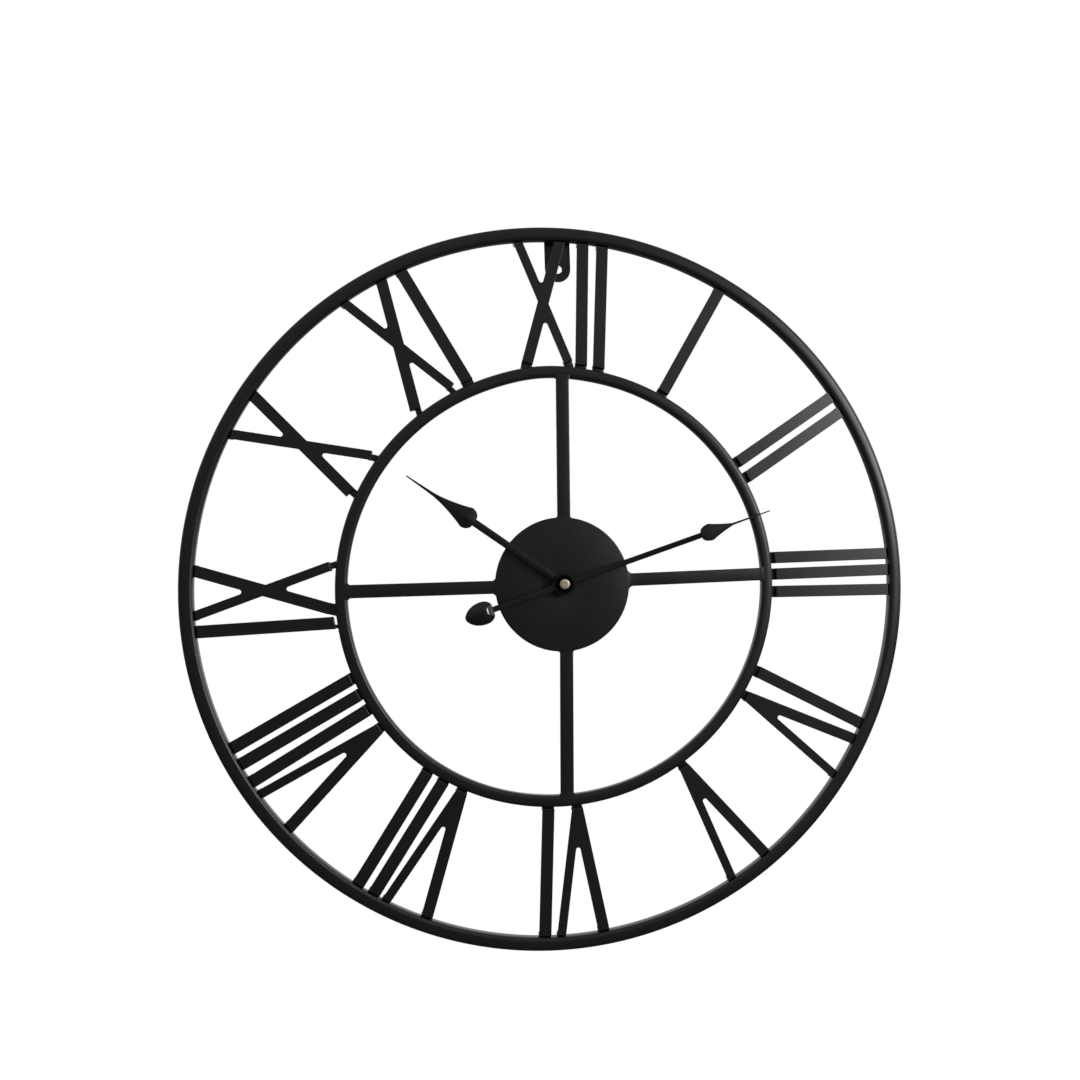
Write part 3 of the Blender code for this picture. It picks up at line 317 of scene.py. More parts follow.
def copper_wire():
    """Varnished copper wire wound in close turns along Z, with painted shade darkening the grooves
    between turns.
    """
    copper = Surface("copper_wire", (0.62, 0.24, 0.10), metallic=1.0, roughness=0.3)
    wave = copper.nodes.new("ShaderNodeTexWave")
    wave.wave_type = "BANDS"
    wave.bands_direction = "Z"
    wave.inputs["Scale"].default_value = 1500.0
    wave.inputs["Distortion"].default_value = 0.4
    copper.links.new(copper.place, wave.inputs["Vector"])
    # painted shade: the colour is darkest in the grooves between turns, where the bump is lowest
    copper.colour(copper.mix(wave.outputs["Fac"], (0.34, 0.10, 0.04), (0.70, 0.30, 0.13)))
    copper.roughness(copper.ramp(copper.noise(500.0), 0.3, 0.7, 0.22, 0.38))
    copper.bump(wave.outputs["Fac"], 0.03)
    return copper.material


def circuit_green():
    """Solder mask with tracks showing through."""
    board = Surface("solder_mask", (0.02, 0.14, 0.06), roughness=0.35)
    cells = board.nodes.new("ShaderNodeTexVoronoi")
    cells.feature = "DISTANCE_TO_EDGE"
    cells.inputs["Scale"].default_value = 240.0
    board.links.new(board.place, cells.inputs["Vector"])
    track = board.ramp(cells.outputs["Distance"], 0.06, 0.10)
    board.colour(board.mix(track, (0.05, 0.26, 0.10), (0.015, 0.11, 0.045)))
    board.roughness(board.ramp(board.noise(900.0), 0.3, 0.7, 0.28, 0.42))
    board.bump(track, 0.03, strength=0.5)
    return board.material


def battery_sleeve():
    """Printed sleeve: dark body and a pale band near the positive end."""
    sleeve = Surface("battery_sleeve", (0.03, 0.09, 0.22), roughness=0.22)
    sleeve.set("Coat Weight", 0.4)
    split = sleeve.nodes.new("ShaderNodeSeparateXYZ")
    sleeve.links.new(sleeve.place, split.inputs["Vector"])
    low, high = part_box("battery")
    length = high.x - low.x
    band = sleeve.ramp(split.outputs["X"], *(high.x - length * share for share in BAND_EDGES))
    film = sleeve.noise(220.0, detail=3.0)
    base = sleeve.mix(film, (0.020, 0.065, 0.17), (0.030, 0.085, 0.21))
    sleeve.colour(sleeve.mix(band, base, (0.62, 0.63, 0.64)))
    sleeve.roughness(sleeve.ramp(film, 0.3, 0.7, 0.16, 0.28))
    sleeve.bump(sleeve.noise(90.0, detail=2.0), 0.03)
    return sleeve.material


MATERIALS = {
    "black_paint": powder_coat(),
    "hand_black": hand_lacquer(),
    "gloss_black": gloss_enamel(),
    "brass": turned_brass(),
    "dark_brass": blackened_brass(),
    "case_black": moulded("case_plastic", (0.013, 0.013, 0.014), (0.020, 0.020, 0.021),
                          0.42, 0.60),
    "white_plastic": moulded("white_plastic", (0.74, 0.72, 0.66), (0.82, 0.80, 0.74),
                             0.38, 0.52, 0.006, 0.1),
    "rubber": moulded("gasket_rubber", (0.017, 0.017, 0.017), (0.028, 0.028, 0.028),
                      0.75, 0.9, 0.02),
    "steel": sheet_metal("plated_steel", (0.60, 0.60, 0.59), 0.3),
    "copper": copper_wire(),
    "board_green": circuit_green(),
    "magnet": moulded("sintered_magnet", (0.045, 0.045, 0.05), (0.075, 0.075, 0.08),
                      0.5, 0.7, 0.02),
    "battery_wrap": battery_sleeve(),
}


# Mesh helpers. Meshes are written in metres in the model's own frame.

def new_piece(name, solid, like, replaced=True, slot=None):
    """Link a piece that takes a CAD node's body and slot, and stands for the node."""
    slot = slot or SLOT_OF[like]
    mesh = bpy.data.meshes.new(name)
    solid.to_mesh(mesh)
    solid.free()
    mesh.materials.append(MATERIALS[slot])
    piece = bpy.data.objects.new(name, mesh)
    bpy.context.scene.collection.objects.link(piece)
    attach(piece, BODY_OF[like])
    if replaced:
        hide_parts(like)
    return piece


def shade(piece, degrees=30.0):
    piece.data.shade_smooth()
    piece.data.set_sharp_from_angle(angle=math.radians(degrees))


def clean_copy(node):
    """A CAD node's mesh with whole flat faces in place of its triangles."""
    solid = bmesh.new()
    solid.from_mesh(frame["nodes"][node].data)
    bmesh.ops.remove_doubles(solid, verts=solid.verts, dist=0.002 * MM)
    bmesh.ops.dissolve_limit(solid, angle_limit=math.radians(0.5), verts=solid.verts,
                             edges=solid.edges)
    face_outwards(solid)
    return solid


def rounded(name, solid, like, radius, special=None, segments=3, sharp=28.0):
    """Round a solid's edges. special(edge) may return its own radius in millimetres."""
    layer = solid.edges.layers.float.new("bevel_weight_edge")
    largest = radius
    wanted = {}
    for edge in solid.edges:
        if edge.calc_face_angle(0.0) < math.radians(sharp):
            continue
        wanted[edge] = (special(edge) if special else None) or radius
        largest = max(largest, wanted[edge])
    for edge, value in wanted.items():
        edge[layer] = value / largest
    piece = new_piece(name, solid, like)
    bevel = piece.modifiers.new("round_edges", "BEVEL")
    bevel.limit_method = "WEIGHT"
    bevel.width = largest * MM
    bevel.segments = segments
    bevel.use_clamp_overlap = False
    bevel.harden_normals = True
    shade(piece, sharp)
    return piece


def skin(solid, rows, closed=False, capped=False):
    """Faces between rows of corners that each go round. A row of one corner is a tip."""
    pairs = list(zip(rows, rows[1:]))
    if closed:
        pairs.append((rows[-1], rows[0]))
    for first, second in pairs:
        count = max(len(first), len(second))
        for k in range(count):
            n = (k + 1) % count
            corners = (first[k % len(first)], first[n % len(first)],
                       second[n % len(second)], second[k % len(second)])
            solid.faces.new(list(dict.fromkeys(corners)))
    if capped:
        solid.faces.new(rows[0])
        solid.faces.new(list(reversed(rows[-1])))


def face_outwards(solid):
    bmesh.ops.recalc_face_normals(solid, faces=solid.faces)


def turned(profile, segments, closed=False):
    """Turn (radius, y) points in millimetres about the hands' axis."""
    solid = bmesh.new()
    rings = []
    for radius, level in profile:
        if radius == 0.0:
            rings.append([solid.verts.new((0.0, level * MM, 0.0))])
            continue
        ring = []
        for k in range(segments):
            turn = 2 * math.pi * k / segments
            ring.append(solid.verts.new((radius * math.cos(turn) * MM, level * MM,
                                         radius * math.sin(turn) * MM)))
        rings.append(ring)
    skin(solid, rings, closed=closed)
    face_outwards(solid)
    return solid


def corner_arc(x, y, radius, start, end, steps=5):
    points = []
    for k in range(steps + 1):
        turn = math.radians(start + (end - start) * k / steps)
        points.append((x + radius * math.cos(turn), y + radius * math.sin(turn)))
    return points


def rounded_rectangle(left, right, bottom, top, radius, steps=5):
    return (corner_arc(right - radius, top - radius, radius, 0, 90, steps)
            + corner_arc(left + radius, top - radius, radius, 90, 180, steps)
            + corner_arc(left + radius, bottom + radius, radius, 180, 270, steps)
            + corner_arc(right - radius, bottom + radius, radius, 270, 360, steps))


def crowned_profile(low_r, high_r, low_y, high_y, steps=48):
    """A closed square profile with crowned sides and soft corners."""
    points = []
    for k in range(steps):
        turn = 2 * math.pi * k / steps
        c, s = math.cos(turn), math.sin(turn)
        across = math.copysign(abs(c) ** (2.0 / CROWN), c)
        up = math.copysign(abs(s) ** (2.0 / CROWN), s)
        points.append(((low_r + high_r + (high_r - low_r) * across) / 2,
                       (low_y + high_y + (high_y - low_y) * up) / 2))
    return points


def between(a, b, c, d, t):
    """Catmull-Rom through four values: b at t = 0 and c at t = 1."""
    value = 2 * b + (c - a) * t + (2 * a - 5 * b + 4 * c - d) * t * t
    return (value + (3 * b - a - 3 * c + d) * t ** 3) / 2


def radius_of(point):
    return math.hypot(point.x, point.z) / MM


def clock_radius(point, radius):
    """Move a point to another radius about the hands' axis."""
    scale = radius / radius_of(point)
    point.x *= scale
    point.z *= scale


# Rings, spokes, hub and numerals

def clock_angle(point):
    return math.degrees(math.atan2(point.x, point.z)) % 360.0


def ring_walls(node):
    """A ring's outer radius at each of its CAD mesh's corners, all round the clock."""
    places = {}
    for vertex in frame["nodes"][node].data.vertices:
        # Corners in line from front to back share a quarter of a degree.
        angle = round(clock_angle(vertex.co) * 4.0) / 4.0 % 360.0
        places[angle] = max(places.get(angle, 0.0), radius_of(vertex.co))
    return [radius for _, radius in sorted(places.items())]


def wall_at(walls, angle):
    """A ring's outer radius at any clock angle, smoothly between the CAD corners."""
    count = len(walls)
    place = angle % 360.0 * count / 360.0
    k = int(place)
    return between(*(walls[(k + j) % count] for j in (-1, 0, 1, 2)), place - k)


OUTER_WALLS = ring_walls("outer_ring")
INNER_WALLS = ring_walls("inner_ring")
LEVELS = {node: [corner.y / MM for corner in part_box(node)]
          for node in ("outer_ring", "inner_ring", "hub_disc")}
OUTER_TUBE = LEVELS["outer_ring"][1] - LEVELS["outer_ring"][0]
HUB_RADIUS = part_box("hub_disc")[1].x / MM


def build_ring(node, walls):
    front, back = LEVELS[node]
    outer = walls[0]
    profile = crowned_profile(outer - (back - front), outer, front, back)
    solid = turned(profile, RING_SEGMENTS, closed=True)
    for vertex in solid.verts:
        moved = wall_at(walls, clock_angle(vertex.co)) - outer
        clock_radius(vertex.co, radius_of(vertex.co) + moved)
    piece = new_piece(f"{node}_tube", solid, node)
    shade(piece, 50.0)


def build_hub():
    front, back = LEVELS["hub_disc"]
    profile = rounded_rectangle(HUB_BORE, HUB_RADIUS, front, back, HUB_EDGE)
    piece = new_piece("hub_plate", turned(profile, 192, closed=True), "hub_disc")
    shade(piece)


def spoke_line(node):
    """The spoke's direction, its radius, sideways place and fillet at both ends."""
    points = [vertex.co for vertex in frame["nodes"][node].data.vertices]
    middle = sum(points, Vector())
    if abs(middle.z) > abs(middle.x):
        along = Vector((0.0, 0.0, math.copysign(1.0, middle.z)))
    else:
        along = Vector((math.copysign(1.0, middle.x), 0.0, 0.0))
    across = Vector((along.z, 0.0, -along.x))
    ends = []
    for radius in (min(radius_of(p) for p in points), max(radius_of(p) for p in points)):
        row = [p.dot(across) / MM for p in points if abs(radius_of(p) - radius) < 0.05]
        side = (min(row) + max(row)) / 2
        ends.append((radius, side, ((max(row) - min(row)) / 2 - SPOKE_HALF) / FILLET_SPREAD))
    return along, across, ends


def spoke_half_width(away, fillet):
    """Half the bar's width at a distance from its welded end, where a fillet widens it."""
    if away >= fillet:
        return SPOKE_HALF
    part = min(1.0, 1.0 - away / fillet)
    wide = SPOKE_HALF + fillet * (1.0 - math.sqrt(max(0.0, 1.0 - part * part)))
    return min(wide, SPOKE_HALF + FILLET_SPREAD * fillet)


def spoke_stops():
    """Shares of a spoke's length, close together at its welded ends."""
    fine, coarse = 0.003, 0.90 / 16
    stops = [fine * k for k in range(16)]
    stops += [stops[-1] + coarse * k for k in range(1, 16)]
    return stops + [0.946 + fine * k for k in range(18)] + [1.0]


def build_spoke(node):
    """A flat bar with filleted ends that run into the hub's edge and under the ring's crown."""
    low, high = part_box(node)
    along, across, ((near, hub_side, hub_fillet), (far, ring_side, ring_fillet)) = spoke_line(node)
    ring_side += RING_END_SHIFT.get(node, 0.0)
    front, back = low.y / MM + SPOKE_SET_BACK, high.y / MM
    hub_end = HUB_RADIUS - HUB_REACH
    ring_end = far + CREST_REACH
    solid = bmesh.new()
    rows = []
    for stop in spoke_stops():
        centre = hub_side + (ring_side - hub_side) * stop
        reach = hub_end + (ring_end - hub_end) * stop
        width = max(spoke_half_width(reach - near, hub_fillet),
                    spoke_half_width(far - reach, ring_fillet))
        row = []
        for v, y in rounded_rectangle(-width, width, front, back, SPOKE_EDGE):
            side = centre + v
            start = math.sqrt(hub_end ** 2 - side ** 2)
            end = math.sqrt(ring_end ** 2 - side ** 2)
            point = along * (start + (end - start) * stop) + across * side
            row.append(solid.verts.new((point.x * MM, y * MM, point.z * MM)))
        rows.append(row)
    skin(solid, rows, capped=True)
    face_outwards(solid)
    shade(new_piece(f"{node}_bar", solid, node))


def build_numeral(node):
    """A bent sheet stroke: round bends where its ends turn back, soft cut edges elsewhere."""
    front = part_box(node)[0].y
    solid = clean_copy(node)
    for vertex in solid.verts:
        wall = wall_at(INNER_WALLS, clock_angle(vertex.co))
        if radius_of(vertex.co) < wall + 0.6:
            clock_radius(vertex.co, wall - WALL_REACH)

    def bend(edge):
        a, b = (vertex.co for vertex in edge.verts)
        if max(a.y, b.y) > front + CLOSE * MM:
            return None
        inner = max(radius_of(a), radius_of(b)) < INNER_BENDS
        outer = min(radius_of(a), radius_of(b)) > OUTER_BENDS
        return BEND_RADIUS if inner or outer else None

    rounded(f"{node}_stroke", solid, node, SHEET_EDGE, special=bend)


def sideways_pairs(points):
    """Points in pairs from left to right as seen from the hands' axis."""
    middle = sum(points, Vector()) / len(points)
    out = Vector((middle.x, 0.0, middle.z)).normalized()
    across = Vector((out.z, 0.0, -out.x))
    places = sorted({round(p.dot(across) / MM, 2): p for p in points}.items())
    return [(places[k][1], places[k + 1][1]) for k in range(0, len(places) - 1, 2)]


def add_bead(solid, first, second, radius, level, size):
    """A tapered, slightly uneven weld bead on a circle about the axis, between two points."""
    unevenness, waves, least, tall = 0.16, 2.3, 0.12, 1.3
    start, end = clock_angle(first), clock_angle(second)
    if abs(end - start) > 180.0:
        end += math.copysign(360.0, start - end)
    rings = []
    for k in range(BEAD_STEPS + 1):
        turn = math.radians(start + (end - start) * k / BEAD_STEPS)
        out = Vector((math.sin(turn), 0.0, math.cos(turn)))
        swell = size * (1.0 + unevenness * math.sin(waves * k + start))
        swell *= math.sqrt(max(least, math.sin(math.pi * (k + 0.3) / (BEAD_STEPS + 0.6))))
        ring = []
        for j in range(WIRE_SIDES):
            a = 2 * math.pi * j / WIRE_SIDES
            point = out * (radius + swell * math.cos(a))
            y = level + tall * swell * math.sin(a)
            ring.append(solid.verts.new((point.x * MM, y * MM, point.z * MM)))
        rings.append(ring)
    skin(solid, rings, capped=True)


def build_welds():
    """Beads behind the numerals' joints with the rings."""
    solid = bmesh.new()
    wall = OUTER_WALLS[0] - OUTER_TUBE
    for node in NODES:
        if not node.startswith("numeral_"):
            continue
        points = [vertex.co for vertex in frame["nodes"][node].data.vertices]
        back = max(p.y for p in points)
        ends = [p for p in points if radius_of(p) > wall - 1.0 and p.y > back - CLOSE * MM]
        size, sink, drop = OUTER_BEAD
        for first, second in sideways_pairs(ends):
            add_bead(solid, first, second, wall - sink, back / MM - drop, size)
        feet = [p for p in points if radius_of(p) < wall_at(INNER_WALLS, clock_angle(p)) + 0.5]
        size, sink, drop = INNER_BEAD
        for first, second in sideways_pairs(feet):
            ring = wall_at(INNER_WALLS, clock_angle(first))
            add_bead(solid, first, second, ring + sink, feet[0].y / MM + drop, size)
    face_outwards(solid)
    shade(new_piece("weld_beads", solid, "outer_ring", replaced=False), 60.0)


def build_steelwork():
    build_ring("outer_ring", OUTER_WALLS)
    build_ring("inner_ring", INNER_WALLS)
    build_hub()
    for node in NODES:
        if node.startswith("spoke_"):
            build_spoke(node)
        elif node.startswith("numeral_"):
            build_numeral(node)
    rounded("hanger_plate", clean_copy("hanger_tab"), "hanger_tab", SHEET_EDGE)
    build_welds()


# Hands

def hand_outline(node):
    """The hand's direction and its half width at each distance, read from its CAD outline."""
    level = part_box(node)[0].y + CLOSE * MM
    front = [v.co for v in frame["nodes"][node].data.vertices if v.co.y < level]
    tip = max(front, key=lambda p: p.x * p.x + p.z * p.z)
    twins = [p for p in front if (p - tip).length < 2.0 * MM]
    middle = sum(twins, Vector()) / len(twins)
    along = Vector((middle.x, 0.0, middle.z)).normalized()
    across = Vector((-along.z, 0.0, along.x))
    widths = {}
    for p in front:
        u = round(p.dot(along) / MM, 2)
        v = p.dot(across) / MM
        if v > 0.0:
            widths[u] = v
    return along, across, sorted(widths.items())


def smooth_curve(points, steps):
    """A smooth line through (u, w) points that hardly dips below the smaller neighbour."""
    result = []
    for k in range(len(points) - 1):
        before = points[max(k - 1, 0)]
        first, second = points[k], points[k + 1]
        after = points[min(k + 2, len(points) - 1)]
        for j in range(steps):
            t = j / steps
            u, w = (between(*values, t) for values in zip(before, first, second, after))
            least = min(first[1], second[1]) * 0.98
            result.append((min(max(u, first[0]), second[0]), max(w, least)))
    result.append(points[-1])
    return result


def embossed_strip(stations, along, across, back, thick, crown):
    """A closed strip with a crowned front, given its half width at each distance."""
    solid = bmesh.new()
    shares = (-1.0, -0.93, -0.72, -0.38, -0.12, 0.0, 0.12, 0.38, 0.72, 0.93, 1.0)
    rolled, sharpness, fade = 0.25, 10, 1.5     # the edges' roll, and the crown's fade
    widest = max(w for u, w in stations)
    rows = []
    for u, w in stations:
        row = []
        rise = crown * (w / widest) ** fade
        for share in shares:
            lift = thick * (1.0 - rolled * abs(share) ** sharpness) + rise * (1.0 - abs(share))
            point = along * u * MM + across * share * w * MM
            point.y = (back - lift) * MM
            row.append(solid.verts.new(point))
        for share in (1.0, -1.0):
            point = along * u * MM + across * share * w * MM
            point.y = back * MM
            row.append(solid.verts.new(point))
        rows.append(row)
    skin(solid, rows, capped=True)
    face_outwards(solid)
    return solid


def add_shell(solid, other):
    """Copy one bmesh into another."""
    mesh = bpy.data.meshes.new("shell")
    other.to_mesh(mesh)
    other.free()
    solid.from_mesh(mesh)
    bpy.data.meshes.remove(mesh)


def build_hand(node):
    """An embossed blade, a flat tail if the hand has one, and a round boss."""
    boss, hole, crown = HANDS[node]
    low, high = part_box(node)
    front, back = low.y / MM, high.y / MM
    thick = back - front - 0.1
    root = boss * 0.6              # where the strips end inside the boss
    along, across, widths = hand_outline(node)
    blade = smooth_curve([entry for entry in widths if entry[0] > boss + 1.0], 3)
    stations = [(root, blade[0][1])] + blade
    solid = embossed_strip(stations, along, across, back, thick, crown)
    tail = [entry for entry in widths if entry[0] < -boss - 1.0]
    if tail:
        stations = tail + [(-root, tail[-1][1])]
        add_shell(solid, embossed_strip(stations, along, across, back, thick, 0.0))
    profile = rounded_rectangle(hole, boss, front, back, 0.25)
    add_shell(solid, turned(profile, 72, closed=True))
    shade(new_piece(f"{node}_blade", solid, node), 35.0)


def build_weight():
    """The cast leaf, with a full dome and a rolled rim."""
    node = "counterweight"
    rim, steepness, steps = 0.16, 2.4, 10       # the rim's share of the depth, and the dome
    low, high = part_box(node)
    level = high.y - CLOSE * MM
    base = [v.co for v in frame["nodes"][node].data.vertices if v.co.y > level]
    middle = sum(base, Vector()) / len(base)
    base.sort(key=lambda p: math.atan2(p.z - middle.z, p.x - middle.x))
    outline = []
    for p in base:
        if not outline or (p - outline[-1]).length > 0.05 * MM:
            outline.append(p)
    depth = high.y - low.y
    rings = []
    solid = bmesh.new()
    levels = [(0.97, 0.0), (1.0, 0.06), (1.0, rim)]
    for k in range(1, steps):
        scale = 1.0 - k / steps
        levels.append((scale, rim + (1.0 - rim) * (1.0 - scale ** steepness)))
    for scale, rise in levels:
        ring = []
        for p in outline:
            point = middle + (p - middle) * scale
            ring.append(solid.verts.new((point.x, high.y - depth * rise, point.z)))
        rings.append(ring)
    skin(solid, rings)
    solid.faces.new(rings[0])
    skin(solid, [rings[-1], [solid.verts.new((middle.x, low.y, middle.z))]])
    face_outwards(solid)
    piece = new_piece("weight_leaf", solid, node)
    smooth = piece.modifiers.new("smooth", "SUBSURF")
    smooth.levels = 1
    smooth.render_levels = 1
    shade(piece, 60.0)


def build_hand_nut():
    """Round brass nut with a knurled rim and a flat face round its bore."""
    bore, knurl, ridges = 1.28, 0.08, 48
    low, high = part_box("hand_nut")
    outer = (high.x - low.x) / 2 / MM
    front, back = low.y / MM, high.y / MM
    profile = [(bore, back), (outer - 0.35, back), (outer, back - 0.35), (outer, front + 0.5),
               (outer - 0.12, front + 0.25), (outer - 0.45, front), (1.45, front),
               (bore, front + 0.15)]
    solid = turned(profile, 3 * ridges, closed=True)
    for vertex in solid.verts:
        if abs(radius_of(vertex.co) - outer) < CLOSE:
            turn = math.atan2(vertex.co.z, vertex.co.x)
            clock_radius(vertex.co, outer - knurl + knurl * math.cos(ridges * turn))
    shade(new_piece("hand_nut_knurled", solid, "hand_nut"), 40.0)


def build_hands():
    for node in HANDS:
        build_hand(node)
    build_weight()
    build_hand_nut()


# Movement

def circle(x, z, radius, count=64):
    return corner_arc(x, z, radius, 0.0, 360.0 * (count - 1) / count, count - 1)


def add_band(solid, outline, width, low, high, chamfer=0.15):
    """A raised rib on the lid; outline(inset) gives its outer edge pushed in by a distance."""
    steps = ((0.0, low), (0.0, high - chamfer), (chamfer, high), (width - chamfer, high),
             (width, high - chamfer), (width, low))
    rings = []
    for inset, level in steps:
        rings.append([solid.verts.new((x * MM, level * MM, z * MM)) for x, z in outline(inset)])
    skin(solid, rings, closed=True)


def add_prism(solid, outline, low, high, along="y"):
    """A solid from an outline, drawn in x and z, or in x and y when it runs along z."""
    def place(a, b, level):
        return (a * MM, level * MM, b * MM) if along == "y" else (a * MM, b * MM, level * MM)
    skin(solid, [[solid.verts.new(place(a, b, level)) for a, b in outline]
                 for level in (low, high)], capped=True)


def add_wire(solid, points, radius):
    """A round wire through points in millimetres."""
    rings = []
    for k, point in enumerate(points):
        before, after = points[max(k - 1, 0)], points[min(k + 1, len(points) - 1)]
        along = (after - before).normalized()
        side = along.cross(Vector((1.0, 0.0, 0.0)))
        side = side.normalized() if side.length > 0.1 else Vector((0.0, 1.0, 0.0))
        other = along.cross(side).normalized()
        ring = []
        for j in range(WIRE_SIDES):
            turn = 2 * math.pi * j / WIRE_SIDES
            spot = point + side * radius * math.cos(turn) + other * radius * math.sin(turn)
            ring.append(solid.verts.new(spot * MM))
        rings.append(ring)
    skin(solid, rings, capped=True)


def knob_place():
    low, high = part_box("setting_knob")
    return (low.x + high.x) / 2 / MM, (low.z + high.z) / 2 / MM


def build_lid():
    """The rear cover: a thin floor with ribs round its edge, the knob and the battery bay.

    Two arrows turn round the knob, and four short bars stand on each side below it.
    """
    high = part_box("rear_cover")[1]
    back = high.y / MM
    floor = back - 0.45
    foot = floor - 0.3            # the ribs stand a little inside the floor
    half = high.x / MM
    x, z = knob_place()
    solid = clean_copy("rear_cover")
    for vertex in solid.verts:
        if vertex.co.y > high.y - CLOSE * MM:
            vertex.co.y = floor * MM
    rounded("rear_lid", solid, "rear_cover", 0.2)

    def edge_line(d):
        reach = half - d - 0.1
        return rounded_rectangle(-reach, reach, -reach, reach, 4.0 - d, 6)

    def knob_line(d):
        return circle(x, z, 9.6 - d)

    def bay_line(d):
        return rounded_rectangle(-26.9 + d, 26.9 - d, -27.1 + d, -10.3 - d, 2.4 - d, 6)

    ribs = bmesh.new()
    for line, width in ((edge_line, 1.3), (knob_line, 1.3), (bay_line, 0.8)):
        add_band(ribs, line, width, foot, back)
    for start, end in ((208, 262), (28, 82)):
        arc = corner_arc(x, z, 12.6, start, end, 14) + corner_arc(x, z, 11.7, end, start, 14)
        add_prism(ribs, arc, foot, back - 0.15)
        head = []
        for radius, degrees in ((13.6, end), (12.15, end + 9.0), (10.7, end)):
            turn = math.radians(degrees)
            head.append((x + radius * math.cos(turn), z + radius * math.sin(turn)))
        add_prism(ribs, head, foot, back - 0.15)
    for at in (-22.0, -18.5, -15.0, -11.5):
        for middle in (at, -at):
            bar = rounded_rectangle(middle - 0.6, middle + 0.6, -7.6, -2.0, 0.55, 4)
            add_prism(ribs, bar, foot, back - 0.1)
    face_outwards(ribs)
    shade(new_piece("lid_ribs", ribs, "rear_cover", replaced=False))


def build_clips():
    """Snap clips that hold the lid to the case, two on each upright side."""
    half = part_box("movement_case")[1].x / MM
    # Each is a strip with a barb on it. Outlines in x and y, and half lengths along z.
    strip = [(half - 0.3, -9.0), (half + 0.5, -8.4), (half + 0.5, -1.0), (half + 0.2, -0.6),
             (half - 0.3, -0.6)]
    barb = [(half + 0.35, -4.4), (half + 0.85, -3.9), (half + 0.85, -3.2), (half + 0.35, -3.2)]
    solid = bmesh.new()
    for z in (14.0, -4.0):
        for side in (1.0, -1.0):
            for outline, length in ((strip, 2.6), (barb, 2.0)):
                mirrored = [(side * x, y) for x, y in outline]
                add_prism(solid, mirrored, z - length, z + length, along="z")
    face_outwards(solid)
    bmesh.ops.bevel(solid, geom=list(solid.edges), offset=0.12 * MM, segments=2, affect="EDGES")
    shade(new_piece("snap_clips", solid, "movement_case", replaced=False), 40.0)


def build_housing():
    """The moulded case; its bush is turned down so that a screw thread can stand on it."""
    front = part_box("movement_case")[0].y / MM
    case_front = -16.1            # the bush stands before this
    inside, root, crest, pitch = 3.3, 3.68, 4.0, 0.75
    solid = clean_copy("movement_case")
    for vertex in solid.verts:
        if vertex.co.y < case_front * MM and 3.2 < radius_of(vertex.co) < 4.2:
            clock_radius(vertex.co, 3.62 if vertex.co.y < (front + 0.2) * MM else 3.7)
    rounded("movement_housing", solid, "movement_case", 0.4, segments=2)
    profile = [(inside, case_front - 0.1)]
    level = case_front - 0.3
    while level > front + 0.7:
        profile += [(root, level), (crest, level - 0.22), (crest, level - 0.3),
                    (root, level - 0.5)]
        level -= pitch
    profile += [(inside, level)]
    thread = turned(profile, 64, closed=True)
    for vertex in thread.verts:
        vertex.co.y -= pitch / 2 * MM * math.atan2(vertex.co.z, vertex.co.x) / math.pi
    shade(new_piece("bush_thread", thread, "movement_case", replaced=False))


def build_bay_signs():
    """Raised plus and minus signs on the bay's floor, under the ends of the cell."""
    solid = bmesh.new()
    floor, out = -15.3, 20.0
    long, thin = 1.6, 0.4         # half the length and half the width of a bar
    z = (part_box("battery")[0].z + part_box("battery")[1].z) / 2 / MM
    for x, half_x, half_z in ((out, long, thin), (-out, long, thin), (out, thin, long)):
        bar = rounded_rectangle(x - half_x, x + half_x, z - half_z, z + half_z, 0.2, 2)
        add_prism(solid, bar, floor - 0.2, floor + 0.28)
    face_outwards(solid)
    shade(new_piece("bay_signs", solid, "movement_case", replaced=False))


def build_contacts():
    """Plated strips with springs: a tapering coil at the minus end, one turn at the plus end."""
    low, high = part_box("battery")
    y = (low.y + high.y) / 2 / MM
    z = (low.z + high.z) / 2 / MM
    steps = 69
    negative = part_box("contact_negative")[1].x / MM
    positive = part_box("contact_positive")[0].x / MM
    # Node, strip's face, cell's end, turns, first radius and how much it shrinks.
    for node, start, end, turns, wide, shrink in (
            ("contact_negative", negative, low.x / MM, 2.6, 3.0, 1.7),
            ("contact_positive", positive, high.x / MM, 1.0, 1.6, 0.0)):
        rounded(f"{node}_strip", clean_copy(node), node, 0.12, segments=2)
        solid = bmesh.new()
        points = []
        reach = (end - start) * 0.62
        for k in range(steps + 1):
            part = k / steps
            turn = 2 * math.pi * turns * part
            radius = wide - shrink * part
            points.append(Vector((start + reach * part, y + radius * math.cos(turn),
                                  z + radius * math.sin(turn))))
        add_wire(solid, points, 0.14)
        face_outwards(solid)
        shade(new_piece(f"{node}_spring", solid, node, replaced=False), 60.0)


